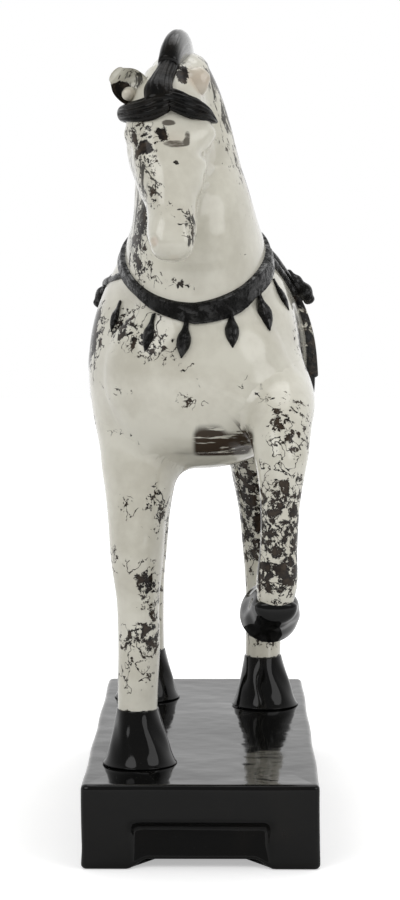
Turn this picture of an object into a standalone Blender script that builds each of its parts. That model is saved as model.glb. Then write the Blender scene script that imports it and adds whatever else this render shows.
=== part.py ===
"""Standing horse figurine on a footed plinth.

The figure is an assembly of cast and glazed pieces: barrel, neck, head, four legs, four hooves and a tail
are cast apart and joined over steel dowels, and the hair and the harness are separate black pieces.
The horse looks along -Y, its left side is +X, and the origin is under the middle of the plinth.
"""
import math

import bmesh
import bpy
import numpy as np
from mathutils import Matrix, Vector
from mathutils.bvhtree import BVHTree

# Driving dimensions, in millimetres
MM = 0.001
PLINTH_WIDTH = 140.0
PLINTH_LENGTH = 350.0
PLINTH_HEIGHT = 50.0
PLINTH_EDGE = 2.5
FOOT_WIDTH = 30.0
FOOT_HEIGHT = 5.2
FOOT_CURVE = 6.0
PANEL_TOP = 26.0
PANEL_DEPTH = 6.0
PANEL_CORNER = 2.0
FIT_GAP = 0.5
HOOF_TOP = 81.0
HOOF_GAP = 0.3
BLANKET_FLARE = 5.6
BLANKET_THICKNESS = 2.6
BLANKET_BOTTOM = 256.0
BLANKET_TOP_LAYER_FLARE = 7.0
BLANKET_TOP_LAYER_THICKNESS = 4.8
BLANKET_TOP_LAYER_BOTTOM = 279.0
SADDLE_FLARE = 11.0
SADDLE_THICKNESS = 8.6
SADDLE_BOTTOM = 329.0
STRAP_THICKNESS = 2.4
STRAP_WIDTH = 7.0
COLLAR_WIDTH = 10.5
COLLAR_THICKNESS = 3.2
COLLAR_AT = 65.0
DOWEL_RADIUS = 3.0
TAIL_DOWEL_RADIUS = 2.1
LEG_ROD_RADIUS = 2.0
HEAD_TURN = math.radians(10)

# Sections of each cast form: centre x, y, z, half width across, then half depth to either side of the path.
# The depth on the first side lies along side x path: above the barrel, before the neck, behind a leg and
# under the jaw. The last value is the roundness of the section: 2 is an ellipse and more is squarer.
BARREL = (
    (-3, -116, 284, 55, 50, 46, 2.2),
    (-4, -96, 285, 63, 66, 56, 2.3),
    (-3.5, -64, 287, 65.2, 84, 62, 2.3),
    (-0.5, -40, 288, 66, 73, 64, 2.3),
    (0, -10, 288, 66.5, 69, 64, 2.2),
    (0, 30, 289, 65.5, 67, 63, 2.2),
    (0, 75, 292, 65, 72, 60, 2.2),
    (0, 108, 294, 60, 67, 56, 2.2),
    (0, 128, 296, 48, 52, 46, 2.1),
)
BARREL_DOMES = (26, 15)
NECK = (
    (-3, -44, 306, 52, 66, 32, 2.1),
    (-4, -65, 333, 48.5, 65, 36, 2.1),
    (-4, -85, 357, 43.5, 60, 42, 2.0),
    (-5, -95, 380, 37, 45, 41, 2.0),
    (-8, -92, 404, 32.5, 32, 38, 2.0),
    (-10, -87, 430, 28, 24, 33, 2.0),
    (-12, -87, 452, 23, 23, 26, 2.0),
    (-13.5, -93, 466, 18, 20, 20, 2.0),
)
NECK_DOMES = (6, 11)
HEAD = (
    (-18, -101, 459, 17, 13, 17, 2.1),
    (-20, -112, 442, 23, 24, 19.5, 2.2),
    (-19.5, -122, 426, 23.8, 33, 18, 2.4),
    (-19, -133, 409, 20.5, 28, 15.5, 2.4),
    (-18, -143, 393, 16.5, 18, 14, 2.3),
    (-17, -151, 380, 14.2, 14, 13, 2.3),
    (-16.5, -158, 369, 14.2, 14, 12.3, 2.3),
    (-16.2, -162, 362.5, 12.2, 12, 10.5, 2.2),
)
HEAD_DOMES = (8, 8.5)
# Bulges and recesses of the face: centre, then half sizes
EYES = (
    ("eye_right", (-38.5, -120, 428), (7, 12, 8.5)),
    ("eye_left", (0, -124, 428), (8, 12, 8.5)),
)
NOSTRILS = (
    ("nostril_right", (-28, -168, 366), (3, 3, 4.5)),
    ("nostril_left", (-4.5, -171, 366), (3, 3, 4.5)),
)
FORELEG_STANDING = (
    (-34, -80, 288, 20, 26, 24, 2),
    (-38, -87, 255, 24, 29, 26, 2),
    (-37.5, -93, 229, 23.6, 25, 24, 2),
    (-38, -97, 214, 20.8, 21, 21, 2),
    (-39, -101, 198, 18, 18, 18, 2),
    (-39.2, -105, 174, 16, 16, 16.5, 2),
    (-38.6, -108, 149, 13, 13, 13, 2),
    (-37.9, -109, 119, 12.6, 13, 12.5, 2),
    (-38.5, -109.5, 98, 12.2, 13, 12.5, 2),
    (-38.8, -110, HOOF_TOP, 11.9, 12.2, 12.2, 2),
)
FORELEG_RAISED = (
    (34, -78, 282, 22, 24, 22, 2),
    (41, -98, 273, 26, 26, 24, 2),
    (44.5, -117, 267, 23.5, 23, 22, 2),
    (46, -137, 257, 19.5, 18, 18, 2),
    (47, -150, 241, 16, 13.5, 15.5, 2),
    (46.4, -154, 216, 12, 11.5, 12, 2),
    (45.5, -153.5, 186, 11, 11, 11, 2),
    (44.5, -151, 165, 12, 12.5, 11.5, 2),
    (43.9, -147, 156, 11, 10.5, 10.5, 2),
)
FORELEG_RAISED_DOMES = (0, 6)
HIND_LEG = (
    (34, -8, 290, 20, 30, 34, 2),
    (39, -6, 262, 26, 33, 36, 2),
    (40.5, 0, 236, 27, 30, 32, 2),
    (42, 9, 207, 23.5, 25, 25, 2),
    (41.5, 16, 181, 18, 19, 18, 2),
    (41, 22, 156, 15, 17, 14.5, 2),
    (41, 17, 131, 12.9, 12.5, 12.5, 2),
    (40.5, 9, 105, 12, 12.5, 12, 2),
    (40, 3, HOOF_TOP, 11.9, 12.2, 12.2, 2),
)
TAIL = (
    (-1, 132, 330, 8, 8, 8, 2),
    (-1, 150, 336, 8.5, 8.5, 8.5, 2),
    (-1, 161, 322, 10, 9, 9, 2),
    (-2, 162, 296, 11.5, 10, 10, 2),
    (-3, 158, 270, 9, 8, 8, 2),
    (-3, 152, 252, 5, 5, 5, 2),
)
TAIL_DOMES = (0, 6)
# The mane follows the back of the neck: distance up the neck, half width, depth inside and height outside
MANE_ON_NECK = ((98, 4.5, 6, 3), (118, 6, 8, 6), (142, 7.5, 9, 8), (163, 8, 10, 9.5))
MANE_OVER_POLL = (
    (-13, -82, 478, 8, 11, 11.5, 2.2),
    (-14.5, -97, 480.5, 7.8, 11, 11.5, 2.2),
    (-17.5, -109, 475.5, 7.2, 9.5, 9.5, 2.3),
    (-19.5, -116, 469, 6.4, 6.5, 7, 2.5),
)
MANE_DOMES = (8, 2.5)
# The forelock hangs down a stem from the mane and parts into two locks over the brow
FORELOCK_RIGHT_LOCK = (
    (-18, -133, 449, 6.5, 5, 5, 2),
    (-24.5, -136, 445, 7.4, 6.5, 5, 2),
    (-30, -135.5, 441.8, 7.6, 6.5, 5, 2),
    (-36, -132, 440.6, 7, 6.2, 5, 2),
    (-42, -125.5, 440.2, 6.2, 5.6, 4.5, 2),
    (-45.5, -119, 440, 5.2, 4.6, 4, 2),
)
FORELOCK_RIGHT_LOCK_DOMES = (3, 3)
FORELOCK_LEFT_LOCK = (
    (-22, -133, 449, 6, 5, 5, 2),
    (-15.5, -136, 447, 6.6, 6.2, 5, 2),
    (-9.5, -136, 444.2, 6.4, 6.2, 5, 2),
    (-3.6, -132.5, 442, 6.4, 5.6, 5, 2),
    (1.6, -127.5, 439.7, 5, 4.8, 4.4, 2),
    (5.4, -121.5, 437.2, 3.2, 3.4, 3.2, 2),
    (8.4, -116, 435.4, 1.2, 1.4, 1.4, 2),
)
FORELOCK_LEFT_LOCK_DOMES = (3, 1)
FORELOCK_STEM = (
    (-18.8, -113, 471.5, 6, 7, 6, 2),
    (-20.5, -118, 465.5, 6, 6.5, 6, 2),
    (-23.6, -126, 458, 7.2, 6.5, 6, 2),
    (-24.8, -132, 453, 8.8, 6, 5.5, 2),
    (-24, -136, 448, 9, 5, 5, 2),
)
FORELOCK_STEM_DOMES = (4, 4)
EAR_RIGHT = (
    (-31, -112, 447, 6, 6, 6, 2.1),
    (-36, -116, 451, 9, 8, 2, 2.1),
    (-41.5, -119, 455.5, 10.2, 9, -5.5, 2.1),
    (-46.5, -120.5, 459.5, 8.6, 7, -4.2, 2.1),
    (-50, -120.5, 462.5, 5, 3.5, -0.5, 2.1),
)
EAR_RIGHT_SIDE = (-0.62, 0, -0.78)
EAR_LEFT = (
    (-13, -107, 450.5, 6, 6, 5, 2),
    (-9, -110.5, 454, 8, 6.5, 4.6, 2),
    (-5, -112, 457.8, 8.6, 6, 4.4, 2),
    (-1.5, -112, 461.2, 7.6, 5, 4, 2),
    (0.8, -111.5, 463.4, 5.6, 3.6, 3, 2),
)
EAR_LEFT_SIDE = (-0.72, 0, 0.69)
EAR_DOMES = (2, 3)
POMMEL = (
    (0, -33, 345, 30, 30, 12, 2),
    (0, -27, 345, 37, 39, 14, 2),
    (0, -21, 345, 37, 37, 14, 2),
    (0, -14, 345, 30, 26, 12, 2),
)
CANTLE = (
    (0, 18, 345, 32, 25, 12, 2),
    (0, 25, 345, 40, 34, 14, 2),
    (0, 31, 345, 40, 37, 14, 2),
    (0, 37, 345, 32, 28, 12, 2),
)
# The rolled front corner of the saddle on the left side; the right one mirrors it
KNEE_ROLL = (
    (53, -45.5, 344, 4, 4, 4, 2),
    (59, -45, 338, 5, 5, 5, 2),
    (64.3, -44, 332.5, 5, 5, 5, 2),
    (66.3, -43, 328.8, 4, 4, 4, 2),
)
KNEE_ROLL_DOMES = (3, 3)
# Straps from the collar back to the saddle, and side views of the cloth, the saddle and the crupper
SIDE_STRAP_SECTION = (2.5, 3.4, 3.4, 2.6)
SIDE_STRAP_LEFT = ((38.6, -85.5, 357), (43.2, -77.5, 352), (48, -67, 346.5), (53.5, -53, 338))
SIDE_STRAP_RIGHT = ((-45.5, -98, 345.5), (-51.5, -84, 342.3), (-58, -67, 339.5), (-59.5, -53, 335))
BLANKET_FRONT, BLANKET_REAR = -45.0, 37.0
BLANKET_TOP_LAYER_FRONT, BLANKET_TOP_LAYER_REAR = -46.5, 38.5
SADDLE_FRONT, SADDLE_REAR = -47.5, 42.0
CRUPPER = ((40.0, 337.0), (72.0, 327.0), (106.0, 313.0), (160.0, 292.0))

# Feet of the standing legs: centre x and y on the plinth
HOOF_FRONT_RIGHT = (-37.4, -111.0)
HOOF_HIND_LEFT = (41.5, 78.0)
HOOF_HIND_RIGHT = (-39.8, 104.0)
HOOF_HALF_WIDTH = 21.5
CORONET_HALF_WIDTH = 12.0
# The lifted hoof is flexed back, so its sole looks to the rear
HOOF_RAISED = (
    (43.9, -147, 150.5, 11.5, 11.5, 11.5, 2),
    (43.0, -137, 147.5, 13.4, 14.5, 13, 2),
    (42.0, -128, 144.5, 15.4, 17.5, 15, 2),
    (40.8, -118, 141.8, 17.7, 19.5, 17, 2),
)

# Hanging ornaments: x and z of the top and of the point, and the share of the full width, for those on
# the chest, and y of those on the rump
CHEST_PENDANTS = (
    (-49, 329, -54, 312, 0.6),
    (-28, 322, -33, 301, 0.8),
    (-8.5, 319, -11.5, 297.5, 1.0),
    (17.5, 324, 18.5, 303.5, 1.0),
    (34, 334, 40.5, 313, 1.0),
    (43.5, 342, 52.5, 324, 0.5),
)
RUMP_PENDANTS = (60.0, 84.0, 106.0)
RUMP_DROP = 19.0
PENDANT_STAND = 0.8
# Share of a drop's length, half width and half thickness
PENDANT_SHAPE = ((0.0, 1.5, 1.6), (0.2, 1.8, 2.2), (0.52, 4.3, 3.6), (0.78, 3.4, 3.2), (1.0, 0.7, 1.0))

# Steel pins inside: both ends, radius and the pieces that they hold
DOWELS = (
    ("dowel_neck", (-3, -62, 322), (-4, -92, 372), DOWEL_RADIUS, ("barrel", "neck")),
    ("dowel_head", (-13, -88, 440), (-18, -128, 432), DOWEL_RADIUS, ("neck", "head")),
    ("dowel_foreleg_right", (-38, -94, 226), (-38, -84, 262), DOWEL_RADIUS, ("foreleg_right", "barrel")),
    (
        "dowel_foreleg_left", (45, -122, 263), (40, -84, 272), DOWEL_RADIUS,
        ("foreleg_left_raised", "barrel"),
    ),
    ("dowel_hind_left", (41, 86, 215), (36, 76, 262), DOWEL_RADIUS, ("hind_leg_left", "barrel")),
    ("dowel_hind_right", (-41, 112, 215), (-36, 100, 262), DOWEL_RADIUS, ("hind_leg_right", "barrel")),
    ("dowel_tail", (-1, 120, 322), (-1, 148, 333), TAIL_DOWEL_RADIUS, ("barrel", "tail")),
    (
        "dowel_hoof_front_left", (44, -150, 160), (42, -130, 148), LEG_ROD_RADIUS,
        ("foreleg_left_raised", "hoof_front_left"),
    ),
)
# Rods from the plinth through a standing hoof into the leg above it: x and y, hoof and leg
LEG_RODS = (
    ("leg_rod_front_right", (-38.5, -110), "hoof_front_right", "foreleg_right"),
    ("leg_rod_hind_left", (40.5, 80), "hoof_hind_left", "hind_leg_left"),
    ("leg_rod_hind_right", (-39.8, 106), "hoof_hind_right", "hind_leg_right"),
)
LEG_ROD_LOW, LEG_ROD_HIGH = 32.0, 112.0

GLAZES = {
    "cream_glaze": ((0.80, 0.78, 0.70), 0.15),
    "black_glaze": ((0.012, 0.012, 0.013), 0.12),
    "black_satin": ((0.02, 0.02, 0.021), 0.45),
    "blanket_glaze": ((0.25, 0.24, 0.22), 0.3),
    "ear_bisque": ((0.72, 0.62, 0.52), 0.3),
    "steel": ((0.5, 0.5, 0.52), 0.35),
}


def clear_scene():
    for obj in list(bpy.data.objects):
        bpy.data.objects.remove(obj)


def collection(name, helper=False):
    made = bpy.data.collections.new(name)
    bpy.context.scene.collection.children.link(made)
    made.hide_render = helper
    return made


def glaze(name):
    material = bpy.data.materials.get(name)
    if material:
        return material
    colour, roughness = GLAZES[name]
    material = bpy.data.materials.new(name)
    material.use_nodes = True
    shader = material.node_tree.nodes["Principled BSDF"]
    shader.inputs["Base Color"].default_value = (*colour, 1)
    shader.inputs["Roughness"].default_value = roughness
    shader.inputs["Metallic"].default_value = 1.0 if name == "steel" else 0.0
    return material


def add_object(name, mesh, home, finish=None):
    obj = bpy.data.objects.new(name, mesh)
    home.objects.link(obj)
    if home is CUTTERS:
        obj.hide_render = True
        obj.display_type = "WIRE"
    if finish:
        mesh.materials.append(glaze(finish))
        mesh.shade_smooth()
        mesh.set_sharp_from_angle(angle=math.radians(40))
    return obj


def smooth_curve(knots, values, samples):
    """Cubic curve through the values at the knots, with slopes from the neighbours on each side."""
    slope = np.gradient(values, knots, axis=0)
    cell = np.clip(np.searchsorted(knots, samples) - 1, 0, len(knots) - 2)
    span = (knots[cell + 1] - knots[cell])[:, None]
    u = (samples - knots[cell])[:, None] / span
    start = (1 + 2 * u) * (1 - u) ** 2 * values[cell] + u * (1 - u) ** 2 * span * slope[cell]
    end = u * u * (3 - 2 * u) * values[cell + 1] + u * u * (u - 1) * span * slope[cell + 1]
    return start + end


def loft_rings(stations, rows, around, side, domes, grow, heading=None):
    """Rings of points along a path of sections. Each end swells into a dome of the length given.

    The sections stand square to the path, or to the heading if there is one.
    """
    table = np.array(stations, float)
    steps = np.linalg.norm(np.diff(table[:, :3], axis=0), axis=1)
    knots = np.concatenate([[0], np.cumsum(steps)])
    t = np.linspace(0, knots[-1], rows)
    sampled = smooth_curve(knots, table, t)
    centre, size, power = sampled[:, :3], sampled[:, 3:6] + grow, sampled[:, 6]
    tangent = np.gradient(centre, t, axis=0)
    tangent /= np.linalg.norm(tangent, axis=1)[:, None]
    if heading:
        tangent[:] = heading
    scale = np.ones(rows)
    for end, sign in ((0, -1), (-1, 1)):
        if not domes[end]:
            continue
        turn = np.radians(np.array([22.5, 45, 67.5, 84]))[:: sign]
        rise = (sign * (domes[end] + grow) * np.sin(turn))[:, None] * tangent[end]
        extra = [centre[end] + rise, np.repeat(size[[end]], 4, 0), np.repeat(power[[end]], 4)]
        extra += [np.repeat(tangent[[end]], 4, 0), np.cos(turn)]
        whole = [centre, size, power, tangent, scale]
        pairs = [(e, w) if end == 0 else (w, e) for e, w in zip(extra, whole)]
        centre, size, power, tangent, scale = [np.concatenate(pair) for pair in pairs]
    across = np.array(side, float) - (tangent @ np.array(side, float))[:, None] * tangent
    across /= np.linalg.norm(across, axis=1)[:, None]
    depth = np.cross(across, tangent)
    angle = np.linspace(0, 2 * math.pi, around, endpoint=False)
    exponent = (2 / power)[:, None]
    c = np.sign(np.cos(angle)) * np.abs(np.cos(angle)) ** exponent
    s = np.sign(np.sin(angle)) * np.abs(np.sin(angle)) ** exponent
    reach = np.where(s > 0, size[:, 1:2], size[:, 2:3])
    width = (size[:, :1] * scale[:, None] * c)[..., None] * across[:, None]
    height = (reach * scale[:, None] * s)[..., None] * depth[:, None]
    return (centre[:, None] + width + height) * MM


def loft(
    name, home, stations, finish=None, rows=16, around=20, side=(1, 0, 0), domes=(0, 0), grow=0.0,
    heading=None,
):
    """A closed solid through the sections of a path."""
    rings = loft_rings(stations, rows, around, side, domes, grow, heading)
    count = len(rings)
    faces = []
    for row in range(count - 1):
        here, ahead = row * around, (row + 1) * around
        for i in range(around):
            j = (i + 1) % around
            faces.append((here + i, here + j, ahead + j, ahead + i))
    faces.append(tuple(range(around)))
    faces.append(tuple(range((count - 1) * around, count * around)))
    mesh = bpy.data.meshes.new(name)
    mesh.from_pydata(rings.reshape(-1, 3).tolist(), [], faces)
    face_outwards(mesh)
    mesh.shade_smooth()
    return add_object(name, mesh, home, finish)


def face_outwards(mesh):
    bm = bmesh.new()
    bm.from_mesh(mesh)
    bmesh.ops.recalc_face_normals(bm, faces=bm.faces)
    bm.to_mesh(mesh)
    bm.free()


def boolean(obj, other, operation="DIFFERENCE"):
    modifier = obj.modifiers.new(f"{operation.lower()}_{other.name}", "BOOLEAN")
    modifier.operation = operation
    modifier.object = other
    return obj


def cut(obj, *cutters):
    for cutter in cutters:
        boolean(obj, cutter)
    return obj


def rod(name, home, start, end, radius, finish=None):
    """A round bar between two points given in millimetres."""
    start, end = Vector(start) * MM, Vector(end) * MM
    bm = bmesh.new()
    thick, length = radius * MM, (end - start).length
    bmesh.ops.create_cone(bm, cap_ends=True, segments=10, radius1=thick, radius2=thick, depth=length)
    turn = (end - start).to_track_quat("Z", "Y").to_matrix().to_4x4()
    bm.transform(Matrix.Translation((start + end) / 2) @ turn)
    mesh = bpy.data.meshes.new(name)
    bm.to_mesh(mesh)
    bm.free()
    return add_object(name, mesh, home, finish)


def dowel(name, start, end, radius, holders):
    """A steel pin and the sockets that it sits in, one in each piece that it holds."""
    start, end = Vector(start), Vector(end)
    room = (end - start).normalized() * FIT_GAP
    socket = rod(f"{name}_socket", CUTTERS, start - room, end + room, radius + FIT_GAP)
    for holder in holders:
        cut(PARTS.objects[holder], socket)
    rod(name, PARTS, start, end, radius, "steel")


def box(name, home, low, high, finish=None, bevel=0.0):
    low, high = Vector(low) * MM, Vector(high) * MM
    bm = bmesh.new()
    bmesh.ops.create_cube(bm, size=1)
    bm.transform(Matrix.Translation((low + high) / 2) @ Matrix.Diagonal((*(high - low), 1)))
    mesh = bpy.data.meshes.new(name)
    bm.to_mesh(mesh)
    bm.free()
    obj = add_object(name, mesh, home, finish)
    if bevel:
        modifier = obj.modifiers.new("rounded_edges", "BEVEL")
        modifier.width = bevel * MM
        modifier.segments = 2
    return obj


def ball(name, home, centre, size):
    """An ellipsoid, with its half sizes along each axis."""
    bm = bmesh.new()
    bmesh.ops.create_uvsphere(bm, u_segments=12, v_segments=8, radius=1)
    bm.transform(Matrix.Translation(Vector(centre) * MM) @ Matrix.Diagonal((*(Vector(size) * MM), 1)))
    mesh = bpy.data.meshes.new(name)
    bm.to_mesh(mesh)
    bm.free()
    return add_object(name, mesh, home)


def outline_prism(name, home, outline, low_x, high_x):
    """A flat outline in the side view (y, z), carried across from one x to another."""
    curve = bpy.data.curves.new(name, "CURVE")
    curve.dimensions = "2D"
    curve.fill_mode = "BOTH"
    curve.extrude = (high_x - low_x) / 2 * MM
    spline = curve.splines.new("POLY")
    spline.points.add(len(outline) - 1)
    for point, (y, z) in zip(spline.points, outline):
        point.co = (y * MM, z * MM, 0, 1)
    spline.use_cyclic_u = True
    holder = bpy.data.objects.new(f"{name}_outline", curve)
    CUTTERS.objects.link(holder)
    bpy.context.view_layer.update()
    mesh = bpy.data.meshes.new_from_object(holder.evaluated_get(bpy.context.evaluated_depsgraph_get()))
    bpy.data.objects.remove(holder)
    bm = bmesh.new()
    bm.from_mesh(mesh)
    bmesh.ops.remove_doubles(bm, verts=bm.verts, dist=1e-6)
    to_side = Matrix(((0, 0, 1, (low_x + high_x) / 2 * MM), (1, 0, 0, 0), (0, 1, 0, 0), (0, 0, 0, 1)))
    bm.transform(to_side)
    bmesh.ops.recalc_face_normals(bm, faces=bm.faces)
    bm.to_mesh(mesh)
    bm.free()
    return add_object(name, mesh, home)


def paint(obj, finish):
    obj.data.materials.append(glaze(finish))
    return obj


def plinth():
    """A footed slab: a panel sinks into each face between the corner feet, and the underside is raised."""
    half_w, half_l = PLINTH_WIDTH / 2, PLINTH_LENGTH / 2
    low, high = (-half_w, -half_l, 0), (half_w, half_l, PLINTH_HEIGHT)
    body = box("plinth", PARTS, low, high, "black_glaze", PLINTH_EDGE)
    inner_w, inner_l = half_w - FOOT_WIDTH, half_l - FOOT_WIDTH
    reach = 10.0
    spans = (
        ("lengthwise", (-inner_w, -half_l - reach), (inner_w, half_l + reach)),
        ("crosswise", (-half_w - reach, -inner_l), (half_w + reach, inner_l)),
    )
    for name, low, high in spans:
        arch = box(f"arch_{name}", CUTTERS, (*low, -reach), (*high, FOOT_HEIGHT), None, FOOT_CURVE * 0.8)
        cut(body, arch)
    for sign in (-1, 1):
        near_y, far_y = sorted((sign * (half_l - PANEL_DEPTH), sign * (half_l + reach)))
        near_x, far_x = sorted((sign * (half_w - PANEL_DEPTH), sign * (half_w + reach)))
        low, high = (-inner_w, near_y, -reach), (inner_w, far_y, PANEL_TOP)
        cut(body, box(f"end_panel_{sign}", CUTTERS, low, high, None, PANEL_CORNER))
        low, high = (near_x, -inner_l, -reach), (far_x, inner_l, PANEL_TOP)
        cut(body, box(f"side_panel_{sign}", CUTTERS, low, high, None, PANEL_CORNER))
    return body


def standing_hoof(name, foot, top_centre):
    """A flared hoof: the coronet matches the leg above and the sole rests on the plinth."""
    low = PLINTH_HEIGHT + HOOF_GAP
    high = HOOF_TOP - HOOF_GAP
    stations = []
    for share in (0.0, 0.3, 0.62, 0.9, 1.0):
        spread = CORONET_HALF_WIDTH + (HOOF_HALF_WIDTH - CORONET_HALF_WIDTH) * share ** 1.15
        x = top_centre[0] + (foot[0] - top_centre[0]) * share
        y = top_centre[1] + (foot[1] - top_centre[1]) * share
        stations.append((x, y, high + (low - high) * share, spread, spread * 1.03, spread * 1.06, 2))
    return loft(name, PARTS, stations, "black_glaze", rows=5, around=16, heading=DOWN)


def hind_stations(sign, foot):
    return [(sign * x, foot[1] + dy, z, *rest) for x, dy, z, *rest in HIND_LEG]


def between(stations, low, high, count=3):
    """Sections sampled from a path between two distances along it."""
    table = np.array(stations, float)
    steps = np.linalg.norm(np.diff(table[:, :3], axis=0), axis=1)
    knots = np.concatenate([[0], np.cumsum(steps)])
    return smooth_curve(knots, table, np.linspace(low, high, count))


def mane_sections():
    """A ridge along the back of the neck, over the poll and down to the brow."""
    sections = []
    for distance, width, inside, outside in MANE_ON_NECK:
        here, ahead = between(NECK, distance, distance + 1, 2)
        rise = Vector(ahead[:3] - here[:3]).normalized()
        rear = rise.cross(Vector((1, 0, 0)))
        sections.append((*(Vector(here[:3]) + rear * here[5]), width, inside, outside, 2.2))
    return sections + list(MANE_OVER_POLL)


def collar(grow):
    """The sections of a flat strap round the root of the neck, square to the neck there."""
    low, high = COLLAR_AT - COLLAR_WIDTH / 2, COLLAR_AT + COLLAR_WIDTH / 2
    sections = between(NECK, low - grow, high + grow)
    return dict(stations=sections, rows=3, around=32, grow=COLLAR_THICKNESS + grow)


def skin(*objects):
    """Trees of the surfaces that ornaments lie on."""
    graph = bpy.context.evaluated_depsgraph_get()
    return [BVHTree.FromObject(obj, graph) for obj in objects]


def lay_on(trees, start, direction):
    """The first point, in millimetres, that a ray from outside meets."""
    start, direction = Vector(start) * MM, Vector(direction)
    hits = [tree.ray_cast(start, direction) for tree in trees]
    found = [(distance, place) for place, _, _, distance in hits if place]
    return min(found)[1] / MM


def pendant(name, top, point, outward, share=1.0):
    """A pointed drop on a short stalk, lying against the surface behind it."""
    top, point = top + Vector(outward) * PENDANT_STAND, point + Vector(outward) * PENDANT_STAND
    run = point - top
    stations = [(*(top + run * way), width * share, thick, thick, 2) for way, width, thick in PENDANT_SHAPE]
    across = run.cross(Vector(outward)).normalized()
    return loft(name, PARTS, stations, "black_satin", rows=7, around=8, side=across)


def strap_outline(points, width):
    """A band of one width along a line of points in the side view."""
    line = np.array(points)
    run = np.gradient(line, axis=0)
    normal = np.stack([-run[:, 1], run[:, 0]], 1) / np.linalg.norm(run, axis=1)[:, None]
    return np.concatenate([line + normal * width / 2, (line - normal * width / 2)[::-1]])


def flap_outline(front, rear, bottom, top=420.0, corner=13.0, slant=26.0):
    """The side view of a cloth over the back, with round lower corners and ends that lean in."""
    turn = np.radians(np.linspace(180, 270, 5))
    inward, upward = corner + corner * np.cos(turn), corner + corner * np.sin(turn)
    low_front = np.stack([front + inward, bottom + upward], 1)
    low_rear = np.stack([rear - inward, bottom + upward], 1)[::-1]
    return np.concatenate([[(front + slant, top)], low_front, low_rear, [(rear - slant, top)]])


def over_barrel(flare, rise):
    """The barrel's sections, widened by one amount and raised by another."""
    return [(x, y, z, a + flare, up + rise, down + rise, p) for x, y, z, a, up, down, p in BARREL]


def build():
    """Castings first, then the hair that lies on them, the harness, and the pins through the joints."""
    barrel_form = dict(rows=18, around=28, domes=BARREL_DOMES, heading=(0, 1, 0))
    barrel_shape = dict(stations=BARREL, **barrel_form)
    neck_shape = dict(stations=NECK, rows=14, around=24, domes=NECK_DOMES)
    head_side = (math.cos(HEAD_TURN), math.sin(HEAD_TURN), 0)
    head_shape = dict(stations=HEAD, rows=13, around=20, domes=HEAD_DOMES, side=head_side)
    raised_shape = dict(stations=FORELEG_RAISED, rows=14, around=14, domes=FORELEG_RAISED_DOMES)

    plinth()
    barrel = loft("barrel", PARTS, finish="cream_glaze", **barrel_shape)
    around_barrel = loft("around_barrel", CUTTERS, grow=FIT_GAP, **barrel_shape)
    neck = cut(loft("neck", PARTS, finish="cream_glaze", **neck_shape), around_barrel)
    around_neck = loft("around_neck", CUTTERS, grow=FIT_GAP, **neck_shape)
    head = loft("head", PARTS, finish="cream_glaze", **head_shape)
    around_face = [loft("around_head", CUTTERS, grow=FIT_GAP, **head_shape)]
    for name, centre, size in EYES:
        boolean(head, ball(f"{name}_bulge", CUTTERS, centre, size), "UNION")
        around_face.append(ball(f"around_{name}", CUTTERS, centre, [half + FIT_GAP for half in size]))
    cut(head, around_neck)
    for name, centre, size in NOSTRILS:
        cut(head, ball(f"{name}_recess", CUTTERS, centre, size))

    leg_form = dict(finish="cream_glaze", around=14, heading=DOWN)
    foreleg = loft("foreleg_right", PARTS, FORELEG_STANDING, rows=14, **leg_form)
    raised = loft("foreleg_left_raised", PARTS, finish="cream_glaze", **raised_shape)
    around_raised = loft("around_raised", CUTTERS, grow=FIT_GAP, **raised_shape)
    left_stations = hind_stations(1, HOOF_HIND_LEFT)
    right_stations = hind_stations(-1, HOOF_HIND_RIGHT)
    hind_left = loft("hind_leg_left", PARTS, left_stations, rows=13, **leg_form)
    hind_right = loft("hind_leg_right", PARTS, right_stations, rows=13, **leg_form)
    for leg in (foreleg, raised, hind_left, hind_right):
        cut(leg, around_barrel)
    cut(raised, around_neck)

    standing_hoof("hoof_front_right", HOOF_FRONT_RIGHT, FORELEG_STANDING[-1][:2])
    standing_hoof("hoof_hind_left", HOOF_HIND_LEFT, left_stations[-1][:2])
    standing_hoof("hoof_hind_right", HOOF_HIND_RIGHT, right_stations[-1][:2])
    cut(loft("hoof_front_left", PARTS, HOOF_RAISED, "black_glaze", rows=5, around=16), around_raised)

    hair(around_barrel, around_neck, around_face)
    harness(barrel, neck, around_barrel, around_neck, barrel_form)
    for name, start, end, radius, holders in DOWELS:
        dowel(name, start, end, radius, holders)
    for name, foot, hoof, leg in LEG_RODS:
        dowel(name, (*foot, LEG_ROD_LOW), (*foot, LEG_ROD_HIGH), LEG_ROD_RADIUS, ("plinth", hoof, leg))


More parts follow.
